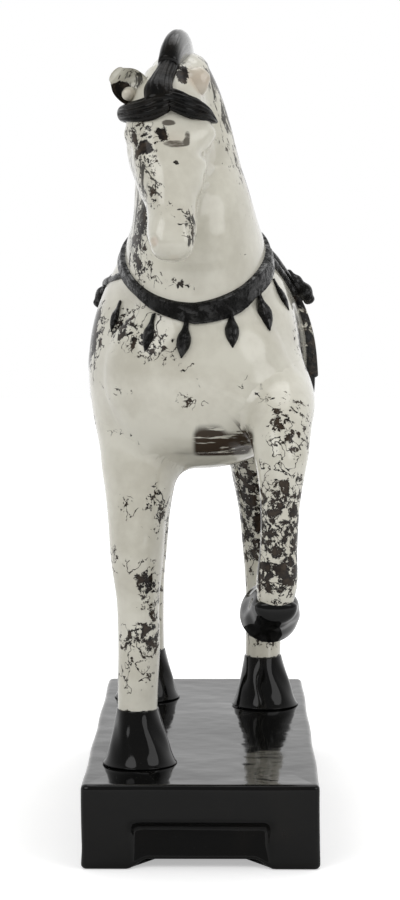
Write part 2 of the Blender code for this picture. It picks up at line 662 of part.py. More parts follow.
def hair(around_barrel, around_neck, around_face):
    """Tail, mane and forelock, each cut to lie on the casting under it, and the ears between them."""
    tail = loft("tail", PARTS, TAIL, "black_glaze", rows=12, around=12, domes=TAIL_DOMES)
    cut(tail, around_barrel)
    mane_shape = dict(stations=mane_sections(), rows=14, around=12, domes=MANE_DOMES)
    mane = loft("mane_crest", PARTS, finish="black_glaze", **mane_shape)
    cut(mane, around_neck, *around_face)
    around_hair = [loft("around_mane", CUTTERS, grow=FIT_GAP, **mane_shape)]

    lock = dict(rows=8, around=10, side=(0, 0, 1))
    right_lock = dict(stations=FORELOCK_RIGHT_LOCK, domes=FORELOCK_RIGHT_LOCK_DOMES, **lock)
    left_lock = dict(stations=FORELOCK_LEFT_LOCK, domes=FORELOCK_LEFT_LOCK_DOMES, **lock)
    stem = dict(stations=FORELOCK_STEM, domes=FORELOCK_STEM_DOMES, rows=7, around=10)
    forelock = loft("forelock", PARTS, finish="black_glaze", **stem)
    boolean(forelock, loft("right_lock", CUTTERS, **right_lock), "UNION")
    boolean(forelock, loft("left_lock", CUTTERS, **left_lock), "UNION")
    cut(forelock, around_neck, *around_face, *around_hair)
    for name, shape in (("stem", stem), ("right_lock", right_lock), ("left_lock", left_lock)):
        around_hair.append(loft(f"around_{name}", CUTTERS, grow=FIT_GAP, **shape))

    ears = (("ear_right", EAR_RIGHT, EAR_RIGHT_SIDE), ("ear_left", EAR_LEFT, EAR_LEFT_SIDE))
    for name, stations, side in ears:
        leaf = loft(name, PARTS, stations, "cream_glaze", rows=7, around=14, domes=EAR_DOMES, side=side)
        cut(leaf, around_neck, *around_face, *around_hair)


def harness(barrel, neck, around_barrel, around_neck, barrel_form):
    """Cloth, saddle, collar, straps and drops, each cut to lie on what is under it."""
    blanket_form = over_barrel(BLANKET_FLARE, BLANKET_THICKNESS)
    blanket_skin = loft("blanket_skin", CUTTERS, blanket_form, **barrel_form)
    layer_form = over_barrel(BLANKET_TOP_LAYER_FLARE, BLANKET_TOP_LAYER_THICKNESS)
    layer_skin = loft("layer_skin", CUTTERS, layer_form, **barrel_form)
    around_layer = loft("around_layer", CUTTERS, layer_form, grow=FIT_GAP, **barrel_form)
    saddle_skin = loft("saddle_skin", CUTTERS, over_barrel(SADDLE_FLARE, SADDLE_THICKNESS), **barrel_form)
    strap_skin = loft("strap_skin", CUTTERS, BARREL, grow=STRAP_THICKNESS, **barrel_form)
    wide = 100.0

    outline = flap_outline(BLANKET_FRONT, BLANKET_REAR, BLANKET_BOTTOM)
    blanket = paint(outline_prism("saddle_blanket", PARTS, outline, -wide, wide), "blanket_glaze")
    boolean(blanket, blanket_skin, "INTERSECT")
    outline = flap_outline(BLANKET_TOP_LAYER_FRONT, BLANKET_TOP_LAYER_REAR, BLANKET_TOP_LAYER_BOTTOM)
    layer = boolean(outline_prism("top_layer", CUTTERS, outline, -wide, wide), layer_skin, "INTERSECT")
    cut(boolean(blanket, layer, "UNION"), around_barrel)

    outline = flap_outline(SADDLE_FRONT, SADDLE_REAR, SADDLE_BOTTOM)
    saddle = paint(outline_prism("saddle", PARTS, outline, -wide, wide), "black_satin")
    boolean(saddle, saddle_skin, "INTERSECT")
    for name, stations in (("pommel", POMMEL), ("cantle", CANTLE)):
        boolean(saddle, loft(name, CUTTERS, stations, rows=8, around=10, heading=(0, 1, 0)), "UNION")
    for sign in (-1, 1):
        stations = [(sign * x, *rest) for x, *rest in KNEE_ROLL]
        roll = loft(f"knee_roll_{sign}", CUTTERS, stations, rows=6, around=10, domes=KNEE_ROLL_DOMES)
        boolean(saddle, roll, "UNION")
    around_collar = loft("around_collar", CUTTERS, **collar(FIT_GAP))
    cut(saddle, around_layer)

    band = loft("breast_collar", PARTS, finish="black_satin", **collar(0.0))
    cut(band, around_neck, around_barrel)
    for name, path in (("side_strap_left", SIDE_STRAP_LEFT), ("side_strap_right", SIDE_STRAP_RIGHT)):
        stations = [(*place, *SIDE_STRAP_SECTION) for place in path]
        strap = loft(name, PARTS, stations, "black_satin", rows=6, around=10, side=(0, 0.6, 0.8))
        cut(strap, around_barrel, around_neck, around_collar)

    chest = skin(barrel, neck)
    for number, (top_x, top_z, low_x, low_z, share) in enumerate(CHEST_PENDANTS, 1):
        top = lay_on(chest, (top_x, -300, top_z), (0, 1, 0))
        point = lay_on(chest, (low_x, -300, low_z), (0, 1, 0))
        drop = pendant(f"chest_pendant_{number}", top, point, (0, -1, 0), share)
        cut(drop, around_barrel, around_neck, around_collar)

    crupper = strap_outline(CRUPPER, STRAP_WIDTH)
    for name, low, high, sign in (("left", 2, wide, 1), ("right", -wide, -2, -1)):
        strap = paint(outline_prism(f"crupper_strap_{name}", PARTS, crupper, low, high), "black_satin")
        cut(boolean(strap, strap_skin, "INTERSECT"), around_barrel)
        for number, y in enumerate(RUMP_PENDANTS, 1):
            line = np.array(CRUPPER)
            z = np.interp(y, line[:, 0], line[:, 1]) - STRAP_WIDTH / 2 - 1.2
            top = lay_on(chest, (sign * 200, y, z), (-sign, 0, 0))
            point = lay_on(chest, (sign * 200, y + 2, z - RUMP_DROP), (-sign, 0, 0))
            cut(pendant(f"rump_pendant_{name}_{number}", top, point, (sign, 0, 0)), around_barrel)


DOWN = (0, 0, -1)
clear_scene()
PARTS = collection("horse_figurine")
CUTTERS = collection("cutters", helper=True)
build()
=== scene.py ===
# %% [markdown]
# A glazed pottery horse stands on a black footed plinth, with one foreleg lifted.
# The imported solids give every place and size. This lesson dresses them: each casting is
# made again as a finer surface, its joints are melted into one smooth skin of glaze,
# and every finish is mixed from noise, so that nothing is a single flat colour.
# Lengths are written in millimetres, because that is how a modeller measures a figurine,
# and they turn into metres when a table becomes an array.

import bpy
import numpy as np
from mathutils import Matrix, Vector


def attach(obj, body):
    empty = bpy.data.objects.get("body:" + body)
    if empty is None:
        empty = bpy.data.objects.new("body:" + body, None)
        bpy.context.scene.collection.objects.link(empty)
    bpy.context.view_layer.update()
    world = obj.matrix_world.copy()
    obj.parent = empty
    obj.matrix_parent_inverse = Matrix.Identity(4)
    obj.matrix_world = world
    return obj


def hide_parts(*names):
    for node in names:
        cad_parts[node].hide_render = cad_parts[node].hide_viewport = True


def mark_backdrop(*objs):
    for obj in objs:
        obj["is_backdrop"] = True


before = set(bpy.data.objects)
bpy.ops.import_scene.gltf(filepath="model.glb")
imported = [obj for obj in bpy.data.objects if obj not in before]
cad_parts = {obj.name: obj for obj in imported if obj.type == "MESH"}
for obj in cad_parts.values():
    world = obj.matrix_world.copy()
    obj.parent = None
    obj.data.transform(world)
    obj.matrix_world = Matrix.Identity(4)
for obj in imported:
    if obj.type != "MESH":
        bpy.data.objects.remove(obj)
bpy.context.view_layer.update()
MM = 0.001
scene = bpy.context.scene

# %% [markdown]
# The camera stands a metre and a half in front of the horse, a little above its chest, and
# looks slightly down. A long lens from that far keeps the legs parallel, as in a catalogue.
# The angles were found by lining up the plinth's corners, so they are written as angles.

# %% Aim the camera
CAMERA_PLACE = np.array((14.4, -1577.3, 366.9)) * MM
CAMERA_DOWN = np.radians(4.94)
CAMERA_LEFT = np.radians(0.6)
CAMERA_LENS = 98.1
CAMERA_SENSOR = 36.0


def aim_camera():
    """Turns two angles into a direction of view: sines and cosines of the fall and the turn."""
    ahead = Vector((
        -np.sin(CAMERA_LEFT) * np.cos(CAMERA_DOWN),
        np.cos(CAMERA_LEFT) * np.cos(CAMERA_DOWN),
        -np.sin(CAMERA_DOWN),
    ))
    lens = bpy.data.cameras.new("catalogue_camera")
    lens.lens = CAMERA_LENS
    lens.sensor_width = CAMERA_SENSOR
    camera = bpy.data.objects.new("catalogue_camera", lens)
    camera.location = CAMERA_PLACE
    camera.rotation_euler = ahead.to_track_quat("-Z", "Y").to_euler()
    scene.collection.objects.link(camera)
    scene.camera = camera
    return camera


print("camera height in mm:", round(aim_camera().location.z / MM))

# %% [markdown]
# Node trees are easier to read as sums than as boxes and wires. This small class holds one
# socket: adding or multiplying two of them puts a Math node into the tree, and its node
# method makes every other kind of node from its settings and its sockets.


# %% A socket that does sums
class Value:
    """One socket of a node tree, with the arithmetic that the finishes below are written in."""

    def __init__(self, tree, socket=None):
        self.tree = tree
        self.socket = socket

    def node(self, kind, sockets=None, out=0, **settings):
        """Adds a node, applies its settings, then fills or links its sockets."""
        made = self.tree.nodes.new(kind)
        for name, setting in settings.items():
            setattr(made, name, setting)
        for name, given in (sockets or {}).items():
            if isinstance(given, Value):
                self.tree.links.new(given.socket, made.inputs[name])
            else:
                made.inputs[name].default_value = given
        return Value(self.tree, made.outputs[out]) if len(made.outputs) else None

    def math(self, operation, first, second=0.0):
        return self.node("ShaderNodeMath", {0: first, 1: second}, operation=operation)

    def __add__(self, other):
        return self.math("ADD", self, other)

    def __radd__(self, other):
        return self.math("ADD", other, self)

    def __sub__(self, other):
        return self.math("SUBTRACT", self, other)

    def __rsub__(self, other):
        return self.math("SUBTRACT", other, self)

    def __mul__(self, other):
        return self.math("MULTIPLY", self, other)

    def __rmul__(self, other):
        return self.math("MULTIPLY", other, self)

    def __abs__(self):
        return self.math("ABSOLUTE", self)

    def larger(self, other):
        return self.math("MAXIMUM", self, other)

    def rise(self, low, high):
        """A smooth step from 0 at low to 1 at high."""
        ends = {"Value": self, "From Min": low, "From Max": high}
        return self.node("ShaderNodeMapRange", ends, interpolation_type="SMOOTHSTEP")

    def blend(self, colour, other):
        """The first colour where this value is 0, the other where it is 1."""
        return self.node("ShaderNodeMix", {0: self, 6: colour, 7: other}, out=2, data_type="RGBA")

    def stretched(self, x, y, z):
        """A place with each axis scaled, which draws a pattern out along the others."""
        return self.node("ShaderNodeVectorMath", {0: self, 1: (x, y, z)}, operation="MULTIPLY")

    def turned(self, angle):
        """A place turned about the y axis by an angle in radians."""
        sockets = {"Vector": self, "Angle": angle}
        return self.node("ShaderNodeVectorRotate", sockets, rotation_type="Y_AXIS")

    def attribute(self, name):
        """A number that is painted onto the mesh under this name."""
        return self.node("ShaderNodeAttribute", out="Fac", attribute_name=name)

    def noise(self, size, detail=3.0, roughness=0.55, distortion=0.0):
        """Cloudy noise at this place, with clouds about as many millimetres across as size."""
        sockets = {"Vector": self, "Scale": 1 / (size * MM), "Detail": detail}
        sockets.update({"Roughness": roughness, "Distortion": distortion})
        return self.node("ShaderNodeTexNoise", sockets)


def rgb(red, green, blue):
    return (red, green, blue, 1.0)


def begin(name):
    """An empty material and its place socket, which reads the object's own coordinates."""
    material = bpy.data.materials.new(name)
    material.use_nodes = True
    material.node_tree.nodes.clear()
    place = Value(material.node_tree).node("ShaderNodeTexCoord", out="Object")
    return material, place


def glazed(place, colour, roughness, height, depth, **others):
    """Closes a material: a Principled shader with a bump whose depth is in millimetres. The names
    of other sockets have underscores for spaces."""
    bump = place.node("ShaderNodeBump", {"Strength": 1.0, "Distance": depth * MM, "Height": height})
    sockets = {"Base Color": colour, "Roughness": roughness, "Normal": bump}
    sockets.update({name.replace("_", " "): value for name, value in others.items()})
    shader = place.node("ShaderNodeBsdfPrincipled", sockets)
    place.node("ShaderNodeOutputMaterial", {"Surface": shader})


print("shader sums are ready")

# %% [markdown]
# The studio is a white floor that fades into a white room. Pottery glaze is a dim mirror, so
# what stands around it matters as much as the lamps: the room is bright behind the horse,
# which silvers the top of the plinth, and dim behind the camera, which keeps its front black.

# %% Build the studio
WHITE = rgb(1, 1, 1)
FLOOR_GREY = rgb(0.80, 0.80, 0.80)
FLOOR_PALE = rgb(0.82, 0.82, 0.82)
FLOOR_GRAIN = 40
FLOOR_CORNERS = np.array(((-1, -1, 0), (1, -1, 0), (1, 1, 0), (-1, 1, 0)))
FLOOR_REACH = 4.0
FLOOR_LIFT = 0.42
FLOOR_FADE = 0.5
FADE_BETWEEN = (0.25, 1.2)
ROOM_FRONT = 0.30
ROOM_BACK = 0.95
ROOM_TURN = (-0.5, 0.6)
LAMPS = (
    ("key", (-1.1, -1.6, 1.6), 1.5, 15.0),
    ("fill", (1.5, -1.3, 1.2), 1.4, 11.0),
    ("top", (0.2, 0.2, 2.0), 1.4, 8.0),
)
LAMP_TARGET = Vector((0, -0.05, 0.27))


def make_floor():
    """A flat sheet whose colour is lifted towards white for the camera and keeps its shadow."""
    material, place = begin("studio_floor")
    seen = place.node("ShaderNodeLightPath", out="Is Camera Ray")
    mirrored = place.node("ShaderNodeLightPath", out="Is Glossy Ray")
    through = place.node("ShaderNodeLightPath", out="Is Transmission Ray")
    grain = place.noise(FLOOR_GRAIN, 2).rise(0.0, 1.0)
    matt = place.node("ShaderNodeBsdfDiffuse", {"Color": grain.blend(FLOOR_GREY, FLOOR_PALE)})
    away = place.node("ShaderNodeVectorMath", {0: place}, out="Value", operation="LENGTH")
    faded = seen.larger(mirrored).larger(through) * away.rise(*FADE_BETWEEN)
    lift = seen * FLOOR_LIFT + faded * FLOOR_FADE
    glow = place.node("ShaderNodeEmission", {"Color": WHITE, "Strength": lift})
    both = place.node("ShaderNodeAddShader", {0: matt, 1: glow})
    place.node("ShaderNodeOutputMaterial", {"Surface": both})
    mesh = bpy.data.meshes.new("studio_floor")
    mesh.from_pydata((FLOOR_CORNERS * FLOOR_REACH).tolist(), [], [(0, 1, 2, 3)])
    mesh.materials.append(material)
    floor = bpy.data.objects.new("studio_floor", mesh)
    scene.collection.objects.link(floor)
    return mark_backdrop(floor)


def make_room():
    """White to the camera; to light and mirrors it brightens from front to back."""
    world = bpy.data.worlds.new("studio_room")
    scene.world = world
    world.use_nodes = True
    world.node_tree.nodes.clear()
    ray = Value(world.node_tree).node("ShaderNodeTexCoord", out="Generated")
    depth = ray.node("ShaderNodeSeparateXYZ", {0: ray}, out="Y").rise(*ROOM_TURN)
    seen = ray.node("ShaderNodeLightPath", out="Is Camera Ray")
    room = ROOM_FRONT + depth * (ROOM_BACK - ROOM_FRONT)
    level = seen + (1 - seen) * room
    sky = ray.node("ShaderNodeBackground", {"Color": WHITE, "Strength": level})
    ray.node("ShaderNodeOutputWorld", {"Surface": sky})


def hang_lamp(name, place, size, power):
    lamp = bpy.data.lights.new(name, "AREA")
    lamp.shape = "DISK"
    lamp.size = size
    lamp.energy = power
    holder = bpy.data.objects.new(name, lamp)
    holder.location = place
    holder.rotation_euler = (LAMP_TARGET - Vector(place)).to_track_quat("-Z", "Y").to_euler()
    scene.collection.objects.link(holder)


make_floor()
make_room()
for lamp in LAMPS:
    hang_lamp(*lamp)
scene.view_settings.view_transform = "Standard"
print("lamps:", len(LAMPS))

# %% [markdown]
# A potter thinks of a horse as a few swelling forms: a barrel, a neck, a head, four legs. Each
# one is a row of cross-sections carried along a bent spine. A section is a squared-off
# ellipse, with its own depth on either side of the spine, so a chest can swell forwards only.
# The same sections answer a second question: how far is a point from that form? That is what
# lets two forms melt into each other further down.

# %% Sections carried along a spine
SPINE_SAMPLES = 240
FAR_AWAY = 0.2
NEAR_BOX = 0.03
LEAST_DOME = 0.4
LEAST_END = 1e-4
TINY = 1e-12
DOME_STEPS = np.radians((84, 72, 58, 44, 30, 15))


def unit(vectors):
    return vectors / np.linalg.norm(vectors, axis=-1, keepdims=True)


def spline(knots, values, at):
    """A cubic Hermite curve through the values, with slopes taken from their neighbours."""
    slope = np.gradient(values, knots, axis=0)
    low = np.clip(np.searchsorted(knots, at) - 1, 0, len(knots) - 2)
    span = (knots[low + 1] - knots[low])[:, None]
    t = (at[:, None] - knots[low][:, None]) / span
    start = (2 * t**3 - 3 * t**2 + 1) * values[low] + (t**3 - 2 * t**2 + t) * span * slope[low]
    end = (3 * t**2 - 2 * t**3) * values[low + 1] + (t**3 - t**2) * span * slope[low + 1]
    return start + end


class Form:
    """A casting: sections (x, y, z, half width, depth ahead, depth behind, squareness) on a spine."""

    def __init__(self, sections, side=(1, 0, 0), heading=None, domes=(0, 0)):
        table = np.array([tuple(row) + (2.0,) * (7 - len(row)) for row in sections], float)
        table[:, :6] *= MM
        steps = np.diff(table[:, :3], axis=0)
        if heading is None:
            lengths = np.linalg.norm(steps, axis=1)
        else:
            lengths = steps @ np.array(heading, float)
        knots = np.concatenate([[0.0], np.cumsum(lengths)])
        self.length = knots[-1]
        self.heading = None if heading is None else np.array(heading, float)
        self.domes = np.maximum(np.array(domes, float), LEAST_DOME) * MM
        self.at = np.linspace(0, self.length, SPINE_SAMPLES)
        rows = spline(knots, table, self.at)
        self.centre, self.sizes = rows[:, :3], rows[:, 3:]
        run = np.gradient(self.centre, axis=0)
        if heading is not None:
            run = np.tile(self.heading, (SPINE_SAMPLES, 1))
        self.run = unit(run)
        side = np.array(side, float)
        self.across = unit(side - (self.run @ side)[:, None] * self.run)
        self.deep = np.cross(self.across, self.run)
        self.table = np.concatenate([self.centre, self.run, self.across, self.deep, self.sizes], axis=1)
        reach = np.abs(self.sizes[:, :3]).max() + self.domes.max()
        self.low, self.high = self.centre.min(0) - reach, self.centre.max(0) + reach

    def read(self, along):
        """The spine's values at distances along it, by straight-line steps between fine samples."""
        row = np.clip(along / self.length, 0, 1) * (SPINE_SAMPLES - 1)
        low = np.minimum(row.astype(int), SPINE_SAMPLES - 2)
        share = (row - low)[:, None]
        table = self.table[low] * (1 - share) + self.table[low + 1] * share
        return table[:, :3], table[:, 3:6], table[:, 6:9], table[:, 9:12], table[:, 12:]

    def along(self, points):
        """How far along the spine each point lies: a projection from the nearest sample."""
        if self.heading is not None:
            return (points - self.centre[0]) @ self.heading
        gap = (self.centre**2).sum(1)[None] - 2 * points @ self.centre.T
        nearest = gap.argmin(1)
        return self.at[nearest] + ((points - self.centre[nearest]) * self.run[nearest]).sum(1)

    def distance(self, points):
        """Roughly the distance outside the skin: length of the arm from the spine, less the
        length at which that arm meets the section; past the ends the section shrinks as a dome."""
        flat = points.reshape(-1, 3)
        gaps = np.full(len(flat), FAR_AWAY)
        near = np.all((flat > self.low - NEAR_BOX) & (flat < self.high + NEAR_BOX), axis=1)
        if near.any():
            close = flat[near]
            along = self.along(close)
            beyond = along - np.clip(along, 0, self.length)
            centre, _, across, deep, sizes = self.read(along)
            arm = close - centre
            u, v = (arm * across).sum(1), (arm * deep).sum(1)
            depth = np.where(v > 0, sizes[:, 1], sizes[:, 2])
            power = sizes[:, 3]
            ring = (np.abs(u / sizes[:, 0]) ** power + np.abs(v / depth) ** power) ** (1 / power)
            dome = np.where(beyond < 0, self.domes[0], self.domes[1])
            share = np.sqrt(ring**2 + (beyond / dome) ** 2) + TINY
            reach = np.sqrt(u**2 + v**2 + beyond**2)
            gaps[near] = reach - reach / share
        return gaps.reshape(points.shape[:-1])

    def arms(self, along, turns):
        """Arms from the spine to the skin: rows along the spine, columns round the section."""
        beyond = along - np.clip(along, 0, self.length)
        dome = np.where(beyond < 0, self.domes[0], self.domes[1])
        shrink = np.sqrt(np.clip(1 - (beyond / dome) ** 2, LEAST_END, 1))
        centre, run, across, deep, sizes = self.read(along)
        power = 2 / sizes[:, 3:4]
        c, s = np.cos(turns)[None], np.sin(turns)[None]
        wide = sizes[:, 0:1] * np.sign(c) * np.abs(c) ** power * shrink[:, None]
        depth = np.where(s > 0, sizes[:, 1:2], sizes[:, 2:3])
        tall = depth * np.sign(s) * np.abs(s) ** power * shrink[:, None]
        arm = across[:, None] * wide[..., None] + deep[:, None] * tall[..., None]
        return centre + run * beyond[:, None], arm

    def stops(self, rows):
        """Evenly spaced stops along the spine, with closer ones over the domed ends."""
        start = -self.domes[0] * np.sin(DOME_STEPS)
        end = self.length + self.domes[1] * np.sin(DOME_STEPS[::-1])
        return np.concatenate([start, np.linspace(0, self.length, rows), end])

    def grid(self, rows, around):
        """The whole loft: spine and arms, each row's share of the length and each column's turn."""
        stops = self.stops(rows)
        turns = turns_round(around)
        spine, arm = self.arms(stops, turns)
        share = np.clip(stops / self.length, 0, 1)[:, None]
        return spine[:, None], arm, share, turns[None]


def turns_round(count):
    return np.linspace(0, 2 * np.pi, count, endpoint=False)


print("dome rows at each end:", len(DOME_STEPS))

# %% [markdown]
# These are the sections of the glazed body, the same as in the solids. Read each line as a
# slice: where its middle is, how wide, how deep in front of the spine and behind it, and how
# square. The hind legs share one table, which is mirrored and moved to each hoof.

# %% The glazed castings
UP_AND_DOWN = (0, 0, -1)
HEAD_TURN = np.radians(10)
BARREL = Form((
    (-3, -116, 284, 55, 50, 46, 2.2),
    (-4, -96, 285, 63, 66, 56, 2.3),
    (-3.5, -64, 287, 65.2, 84, 62, 2.3),
    (-0.5, -40, 288, 66, 73, 64, 2.3),
    (0, -10, 288, 66.5, 69, 64, 2.2),
    (0, 30, 289, 65.5, 67, 63, 2.2),
    (0, 75, 292, 65, 72, 60, 2.2),
    (0, 108, 294, 60, 67, 56, 2.2),
    (0, 128, 296, 48, 52, 46, 2.1),
), heading=(0, 1, 0), domes=(26, 15))
NECK = Form((
    (-3, -44, 306, 52, 66, 32, 2.1),
    (-4, -65, 333, 48.5, 65, 36, 2.1),
    (-4, -85, 357, 43.5, 60, 42, 2),
    (-5, -95, 380, 37, 45, 41, 2),
    (-8, -92, 404, 32.5, 32, 38, 2),
    (-10, -87, 430, 28, 24, 33, 2),
    (-12, -87, 452, 23, 23, 26, 2),
    (-13.5, -93, 466, 18, 20, 20, 2),
), domes=(6, 11))
HEAD = Form((
    (-18, -101, 459, 17, 13, 17, 2.1),
    (-20, -112, 442, 23, 24, 19.5, 2.2),
    (-19.5, -122, 426, 23.8, 33, 18, 2.4),
    (-19, -133, 409, 20.5, 28, 15.5, 2.4),
    (-18, -143, 393, 16.5, 18, 14, 2.3),
    (-17, -151, 380, 14.2, 14, 13, 2.3),
    (-16.5, -158, 369, 14.2, 14, 12.3, 2.3),
    (-16.2, -162, 362.5, 12.2, 12, 10.5, 2.2),
), side=(np.cos(HEAD_TURN), np.sin(HEAD_TURN), 0), domes=(8, 8.5))
FORELEG_STANDING = Form((
    (-34, -80, 288, 20, 26, 24),
    (-38, -87, 255, 24, 29, 26),
    (-37.5, -93, 229, 23.6, 25, 24),
    (-38, -97, 214, 20.8, 21, 21),
    (-39, -101, 198, 18, 18, 18),
    (-39.2, -105, 174, 16, 16, 16.5),
    (-38.6, -108, 149, 13, 13, 13),
    (-37.9, -109, 119, 12.6, 13, 12.5),
    (-38.5, -109.5, 98, 12.2, 13, 12.5),
    (-38.8, -110, 81, 11.9, 12.2, 12.2),
), heading=UP_AND_DOWN)
FORELEG_RAISED = Form((
    (34, -78, 282, 22, 24, 22),
    (41, -98, 273, 26, 26, 24),
    (44.5, -117, 267, 23.5, 23, 22),
    (46, -137, 257, 19.5, 18, 18),
    (47, -150, 241, 16, 13.5, 15.5),
    (46.4, -154, 216, 12, 11.5, 12),
    (45.5, -153.5, 186, 11, 11, 11),
    (44.5, -151, 165, 12, 12.5, 11.5),
    (43.9, -147, 156, 11, 10.5, 10.5),
), domes=(0, 6))
HIND_LEG = (
    (34, -8, 290, 20, 30, 34),
    (39, -6, 262, 26, 33, 36),
    (40.5, 0, 236, 27, 30, 32),
    (42, 9, 207, 23.5, 25, 25),
    (41.5, 16, 181, 18, 19, 18),
    (41, 22, 156, 15, 17, 14.5),
    (41, 17, 131, 12.9, 12.5, 12.5),
    (40.5, 9, 105, 12, 12.5, 12),
    (40, 3, 81, 11.9, 12.2, 12.2),
)
HOOF_HIND_LEFT = (41.5, 78)
HOOF_HIND_RIGHT = (-39.8, 104)


def hind_sections(sign, hoof):
    """The shared hind leg, mirrored by the sign and shifted back to its hoof."""
    return [(sign * x, hoof[1] + back, *rest) for x, back, *rest in HIND_LEG]


HIND_LEFT = Form(hind_sections(1, HOOF_HIND_LEFT), heading=UP_AND_DOWN)
HIND_RIGHT = Form(hind_sections(-1, HOOF_HIND_RIGHT), heading=UP_AND_DOWN)
print("neck spine in mm:", round(NECK.length / MM), "head spine in mm:", round(HEAD.length / MM))

# %% [markdown]
# In the kiln the glaze runs into every joint, so the real horse shows no seams. A fillet could be
# modelled by hand at each leg, but it is easier to ask for it: where two forms are about equally
# far away, their distances are joined with a soft minimum, and the surface where the joined
# distance is nought is the glazed skin. Every casting then sends its arms out to that skin. At
# a seam the casting that owns the place stays on the skin and its neighbour dips just below it.

# %% Melt the castings into one skin
SKIN = {
    "barrel": (BARREL, 0.0),
    "neck": (NECK, 10.0),
    "foreleg_right": (FORELEG_STANDING, 13.0),
    "foreleg_left_raised": (FORELEG_RAISED, 11.0),
    "hind_leg_left": (HIND_LEFT, 24.0),
    "hind_leg_right": (HIND_RIGHT, 24.0),
    "head": (HEAD, 8.0),
}
CASTINGS = {
    "barrel": (150, 180, set(SKIN) - {"barrel", "head"}),
    "neck": (130, 140, {"barrel", "foreleg_left_raised", "head"}),
    "head": (150, 150, {"neck"}),
    "foreleg_right": (150, 84, {"barrel", "neck"}),
    "foreleg_left_raised": (150, 84, {"barrel", "neck"}),
    "hind_leg_left": (150, 84, {"barrel"}),
    "hind_leg_right": (150, 84, {"barrel"}),
}
SOLVE_STEPS = 14
SOLVE_PACE = 0.8
LEAST_ARM = 0.5
ARM_SPARE = 14 * MM
DIP_DEPTH = 2.0 * MM
DIP_WIDTH = 5.0 * MM


def soft_step(values, low, high):
    """0 below low, 1 above high, and a smooth cubic between them."""
    t = np.clip((values - low) / (high - low), 0, 1)
    return t * t * (3 - 2 * t)


def soft_join(first, second, width):
    """The smaller of two distances, lowered by a parabola where they differ by less than width."""
    near = np.clip(width - np.abs(first - second), 0, None)
    return np.minimum(first, second) - near**2 / (4 * width)


def skin_gap(points, names):
    """Distance to the joined skin of the named castings, and each casting's own distance."""
    joined, each = None, {}
    for name, (form, width) in SKIN.items():
        if name in names:
            each[name] = form.distance(points)
            joined = each[name] if joined is None else soft_join(joined, each[name], width * MM)
    return joined, each


def reach_skin(spine, arm, names):
    """Lengthens or shortens each arm until its end lies on the joined skin."""
    base = np.linalg.norm(arm, axis=-1)
    way = arm / base[..., None]
    length = base.copy()
    for step in range(SOLVE_STEPS):
        gap = skin_gap(spine + way * length[..., None], names)[0]
        length = np.clip(length - SOLVE_PACE * gap, LEAST_ARM * base, base + ARM_SPARE)
    return way, length


def melted(name, rows, around, neighbours):
    """A casting's skin: arms solved to the joined skin, dipped where a neighbour lies nearer."""
    form = SKIN[name][0]
    spine, arm = form.grid(rows, around)[:2]
    names = neighbours | {name}
    way, length = reach_skin(spine, arm, names)
    points = spine + way * length[..., None]
    each = skin_gap(points, names)[1]
    others = np.min([each[other] for other in neighbours], axis=0)
    dip = DIP_DEPTH * soft_step(each[name] - others, 0.0, DIP_WIDTH)
    return points - way * dip[..., None]


skins = {name: melted(name, *plan) for name, plan in CASTINGS.items()}
print("skins:", {name: points.shape[:2] for name, points in skins.items()})

# %% [markdown]
# A loft alone is too smooth to be an animal. Muscles, eye sockets, nostrils and the mouth are
# pushed up or pressed in with soft dents, each one a bell curve round a point. The face is not
# flat on a grid, so the dents push away from the spine's side of the skin, along its normal.

# %% Press muscles and a face into the skin
BODY_DENTS = (
    ((-3, -150, 268), (7, 30, 40), -1.6),
    ((-30, -142, 292), (20, 24, 24), 1.6),
    ((24, -142, 290), (18, 24, 22), 1.4),
    ((-52, -128, 262), (9, 16, 26), -1.2),
    ((-39, -122, 178), (9, 8, 14), 1.6),
    ((-39, -118, 152), (12, 8, 7), -0.8),
    ((-38, -122, 100), (9, 9, 8), 0.9),
    ((47, -164, 238), (9, 8, 13), 1.5),
    ((45, -164, 166), (9, 8, 8), 0.9),
    ((41, 118, 158), (9, 12, 14), 1.4),
    ((-41, 144, 158), (9, 12, 14), 1.4),
)
FACE_DENTS = (
    ((-41, -122, 428), (5, 6.5, 5), 2.6),
    ((-41, -124, 437), (6, 8, 3.4), 1.5),
    ((-40, -126, 418), (5, 7, 3.6), -1.5),
    ((4, -126, 428), (6.5, 8.5, 6.5), 4.4),
    ((3, -129, 437), (6, 8, 3.4), 1.5),
    ((1, -133, 416), (5, 7, 3.4), -2.6),
    ((1.5, -134, 409), (3.6, 8, 6), 1.8),
    ((-1.5, -140, 398), (3.6, 8, 8), 1.9),
    ((-4, -146, 386), (3.6, 8, 8), 1.4),
    ((-32, -137, 402), (5, 8, 14), 1.3),
    ((-19, -151, 408), (6, 8, 22), 0.9),
    ((-30, -143, 388), (5, 9, 9), -1.2),
    ((-3, -147, 388), (5, 9, 9), -1.2),
    ((-26.5, -168, 365.5), (5.5, 6, 6.5), 1.9),
    ((-5.5, -171, 365.5), (5.5, 6, 6.5), 1.9),
    ((-27, -170, 364), (2.4, 5, 3.0), -3.4),
    ((-4.5, -173, 364), (2.4, 5, 3.0), -3.4),
    ((-15, -174, 352.8), (9, 9, 1.5), -1.8),
    ((-15, -172, 349), (8, 8, 3.0), 1.2),
    ((-38, -108, 412), (8, 12, 15), 1.6),
    ((-1, -112, 412), (8, 12, 15), 1.6),
)


def grid_normals(points):
    """Unit normals of a grid closed round its columns: the cross product of its two slopes."""
    down = np.gradient(points, axis=0)
    ahead = np.roll(points, -1, axis=1) - np.roll(points, 1, axis=1)
    normal = np.cross(ahead, down)
    normal = normal / (np.linalg.norm(normal, axis=-1, keepdims=True) + TINY)
    outward = points - points.mean(1, keepdims=True)
    return normal * np.sign((normal * outward).sum())


